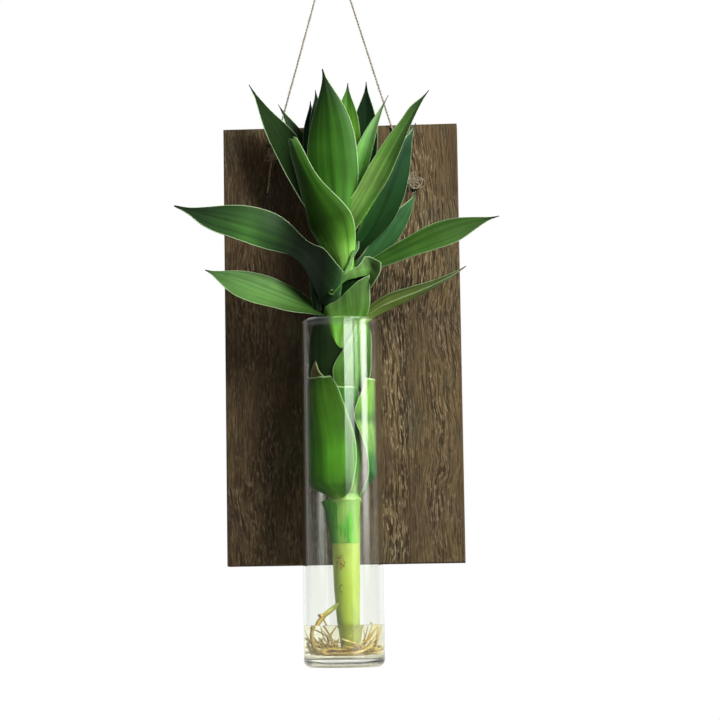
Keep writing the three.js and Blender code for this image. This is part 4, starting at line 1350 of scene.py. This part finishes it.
def loft(sections):
    """A grid of points over sections of equally many points, with its upper side's directions."""
    shares = np.linspace(0, 1, LEAF_STEPS + 1)
    grid = np.array([through([row[i] for row in sections], shares) for i in range(LEAF_STRIPS + 1)])
    grid = grid.transpose(1, 0, 2)
    normals = np.cross(np.gradient(grid, axis=0), np.gradient(grid, axis=1))
    return grid, normals / np.maximum(np.linalg.norm(normals, axis=2, keepdims=True), 1e-9)


def clasp_grid(leaf, seed):
    """The same as blade_grid for a blade whose base widens into rows of points round the stem."""
    blade, _ = blade_grid(leaf, seed)
    return loft([*[through(row, LEAF_PLACES) for row in leaf["clasp"]], *blade[CLASP_TO::CLASP_EVERY]])


def patch_grid(leaf, seed):
    """The same for a blade that is given as rows of points."""
    grid, normals = loft([through(row, LEAF_PLACES) for row in leaf["rows"]])
    if leaf.get("cut"):
        for step in range(LEAF_STEPS + 1):
            end = max(0, (step / LEAF_STEPS - CUT_FROM) / CUT_LENGTH)
            for i in range(LEAF_STRIPS + 1):
                grid[step, i, 2] += CUT_DEPTH * end * noise.noise(Vector((i * 0.7, seed, 0.5)))
    return grid, normals


def clipped(value):
    return float(np.clip(value, 0, 1))


def make_blade(leaf, seed, grid, normals, material):
    """A blade of some thickness over a grid of middle points, with its colours."""
    marks, tones = zip(*shades(leaf["tones"]))
    points, uv, tints = [], [], []
    widths = np.linalg.norm(np.diff(grid, axis=1), axis=2).sum(axis=1)
    heights = np.linalg.norm(np.diff(grid, axis=0), axis=2).sum(axis=0)
    full = widths.max()
    needle_tip = "midrib" in leaf and leaf.get("tip", LEAF_TIP) < 0.1
    for step in range(LEAF_STEPS + 1):
        share = step / LEAF_STEPS
        slim = LEAF_SLIMMEST + (1 - LEAF_SLIMMEST) * min(1, widths[step] / full * 1.6)
        colour = np.array([np.interp(share, marks, [tone[k] for tone in tones]) for k in range(3)])
        needle = clipped((share - NEEDLE_FROM) / NEEDLE_LENGTH) if needle_tip else 0.0
        colour = colour * (1 - needle) + NEEDLE_TONE * needle
        lower, upper, row = [], [], []
        for i, place in enumerate(LEAF_PLACES):
            u = abs(2 * place - 1)
            thick = LEAF_THICKNESS * (1 - LEAF_EDGE_THINNER * u**4) * slim
            middle, normal = grid[step, i], normals[step, i]
            lower.append(rim(*(middle - normal * thick / 2)))
            upper.append(rim(*(middle + normal * thick / 2)))
            inside = (1 - u) * widths[step] / 2
            # The pale margin, partly a painted highlight along the edge
            margin_and_glint = clipped((MARGIN_GLINT_WIDTH - inside) / MARGIN_GLINT_EASE) * MARGIN_GLINT_SHARE if widths[step] > 2 else 0.0
            margin_and_glint *= leaf.get("edges", (1, 1))[place > 0.5]
            if "midrib" in leaf:
                margin_and_glint *= clipped((share - leaf.get("bare", (0.1, 0.1))[place > 0.5]) / 0.2)
            # A cut end gets a painted highlight line along it
            if leaf.get("cut"):
                margin_and_glint = max(margin_and_glint, clipped(2 - 4 * (1 - share) * heights[i]))
            # Painted shading across the blade: one side lighter or darker as light would fall on it
            factor = np.interp(place, *zip(*leaf.get("across", [(0, 1), (1, 1)])))
            row.append((*(colour * factor), margin_and_glint * (1 - needle)))
        points += [*lower, *reversed(upper)]
        uv += [(u + seed, share + 0.31 * seed) for u in [*LEAF_PLACES, *reversed(LEAF_PLACES)]]
        tints += [*row, *reversed(row)]
    count = 2 * (LEAF_STRIPS + 1)
    faces = ring_faces(LEAF_STEPS + 1, count)
    last = LEAF_STEPS * count
    for i in range(LEAF_STRIPS):
        a, b = i, count - 1 - i
        faces.append((a, a + 1, b - 1, b))
        faces.append((last + a, last + a + 1, last + b - 1, last + b))
    node = leaf.get("node", leaf["name"])
    build(leaf["name"] + "_blade", points, faces, material, "plant", leaf["slot"], node, uv, tints)


def make_leaves():
    materials = {
        "leaf_green": leaf_material("satin_leaf", 0.1, 0.4, 0.09),
        "leaf_dark": leaf_material("dark_leaf", 0.06, 0.42, 0.06),
        "leaf_bright": leaf_material("young_leaf", 0.18, 0.4, 0.1),
    }
    for seed, leaf in enumerate([*LEAVES, *PATCHES]):
        make_grid = patch_grid if "rows" in leaf else clasp_grid if "clasp" in leaf else blade_grid
        grid, normals = make_grid(leaf, seed)
        make_blade(leaf, seed, grid, normals, materials[leaf["slot"]])


# Stage and light

FLOOR_RADIUS = 1.6
FLOOR_Z = -0.36
FLOOR_SIDES = 64
FLOOR_BOUNCE = (0.25, 0.25, 0.25)
FLOOR_GLOW = 0.8
WORLD_LIGHT = 0.03
LIT_PLACE = (0, -0.04, 0.02)
WINDOW_AWAY = 1.1
# Name, degrees to the right of the front, width, height of the middle, height of the pane, watts,
# and the brightness at the foot and at the top
WINDOWS = (
    ("window_left", 29, 0.54, 0.07, 0.28, 3.1, 0.0, 1.7),
    ("window_right", 52, 0.2, 0.13, 0.16, 0.6, 0.0, 1.7),
    ("window_side", 77, 0.36, 0.03, 0.36, 3.2, 0.0, 1.7),
    ("low_card", 46, 0.62, -0.16, 0.4, 0.9, 2.0, 0.0),
)


def make_floor():
    """A pale floor that looks white and sends little light back up."""
    floor = Shader("pale_floor")
    marks = floor.noise(floor.place(), (3, 3, 3), 3)
    pale = floor.ramp(marks, [(0.3, (0.86, 0.86, 0.85)), (0.7, (0.9, 0.9, 0.89))])
    paths = floor.node("LightPath", None)
    floor.set(Base_Color=floor.mix(paths["Is Diffuse Ray"], pale, FLOOR_BOUNCE), Roughness=0.8)
    seen = floor.most(paths["Is Camera Ray"], floor.seen_in_gloss(paths))
    floor.blend(floor.times(seen, FLOOR_GLOW), floor.node("Emission", inputs={0: (1.0, 1.0, 1.0)}))
    angles = np.linspace(0, 2 * math.pi, FLOOR_SIDES, endpoint=False)
    points = [(FLOOR_RADIUS * math.cos(a), FLOOR_RADIUS * math.sin(a), FLOOR_Z) for a in angles]
    mesh = bpy.data.meshes.new("studio_floor")
    mesh.from_pydata(points, [], [tuple(range(FLOOR_SIDES))])
    mesh.materials.append(floor.material)
    ground = bpy.data.objects.new("studio_floor", mesh)
    scene.collection.objects.link(ground)


def make_world():
    """A white background that lights little and shows in glass behind, below and above only."""
    scene.world = bpy.data.worlds.new("studio")
    world = Nodes(scene.world)
    paths = world.node("LightPath", None)
    _, y, z = world.split(world.node("TexCoord", "Generated"))
    white = world.most(
        world.node("MapRange", inputs={0: y, 1: 0.2, 2: 0.8}),
        world.node("MapRange", inputs={0: z, 1: 0.06, 2: -0.04}),
        world.node("MapRange", inputs={0: z, 1: 0.25, 2: 0.5}),
        world.math("GREATER_THAN", paths["Transmission Depth"], 2.5),
    )
    seen = world.most(paths["Is Camera Ray"], world.times(world.seen_in_gloss(paths), white))
    strength = world.node("MapRange", inputs={0: seen, 3: WORLD_LIGHT, 4: 1.0})
    world.end("World", world.node("Background", inputs={0: (1, 1, 1), 1: strength}))


def area_light(name, place, target, size, watts):
    data = bpy.data.lights.new(name, "AREA")
    data.shape = "RECTANGLE"
    data.size, data.size_y = size
    data.energy = watts
    lamp = bpy.data.objects.new(name, data)
    lamp.location = place
    lamp.rotation_euler = (Vector(target) - lamp.location).to_track_quat("-Z", "Y").to_euler()
    lamp.visible_camera = False
    scene.collection.objects.link(lamp)
    return lamp


def make_lamps():
    area_light("key_softbox", (0.7, -0.64, 0.66), LIT_PLACE, (0.46, 0.46), 18.8)
    area_light("left_fill", (-0.7, -1.0, 0.5), LIT_PLACE, (0.7, 0.7), 0.1).visible_glossy = False
    for name, turn, width, height, tall, watts, foot, top in WINDOWS:
        angle = math.radians(turn)
        x, y = WINDOW_AWAY * math.sin(angle), LIT_PLACE[1] - WINDOW_AWAY * math.cos(angle)
        lamp = area_light(name, (x, y, height), (0, LIT_PLACE[1], height), (width, tall), watts)
        lamp.visible_diffuse = False
        pane = Nodes(lamp.data)
        up = pane.split(pane.node("NewGeometry", "Parametric"))[1]
        strength = pane.node("MapRange", inputs={0: up, 3: foot, 4: top})
        pane.end("Light", pane.node("Emission", inputs={"Strength": strength}))


make_camera()
make_twine()
for name, material in (("board", wood_material()), ("vase_peg", steel_material())):
    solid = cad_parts[name]
    solid.data.materials.clear()
    solid.data.materials.append(material)
make_vase()
make_cane()
make_roots()
make_leaves()
make_floor()
make_world()
make_lamps()
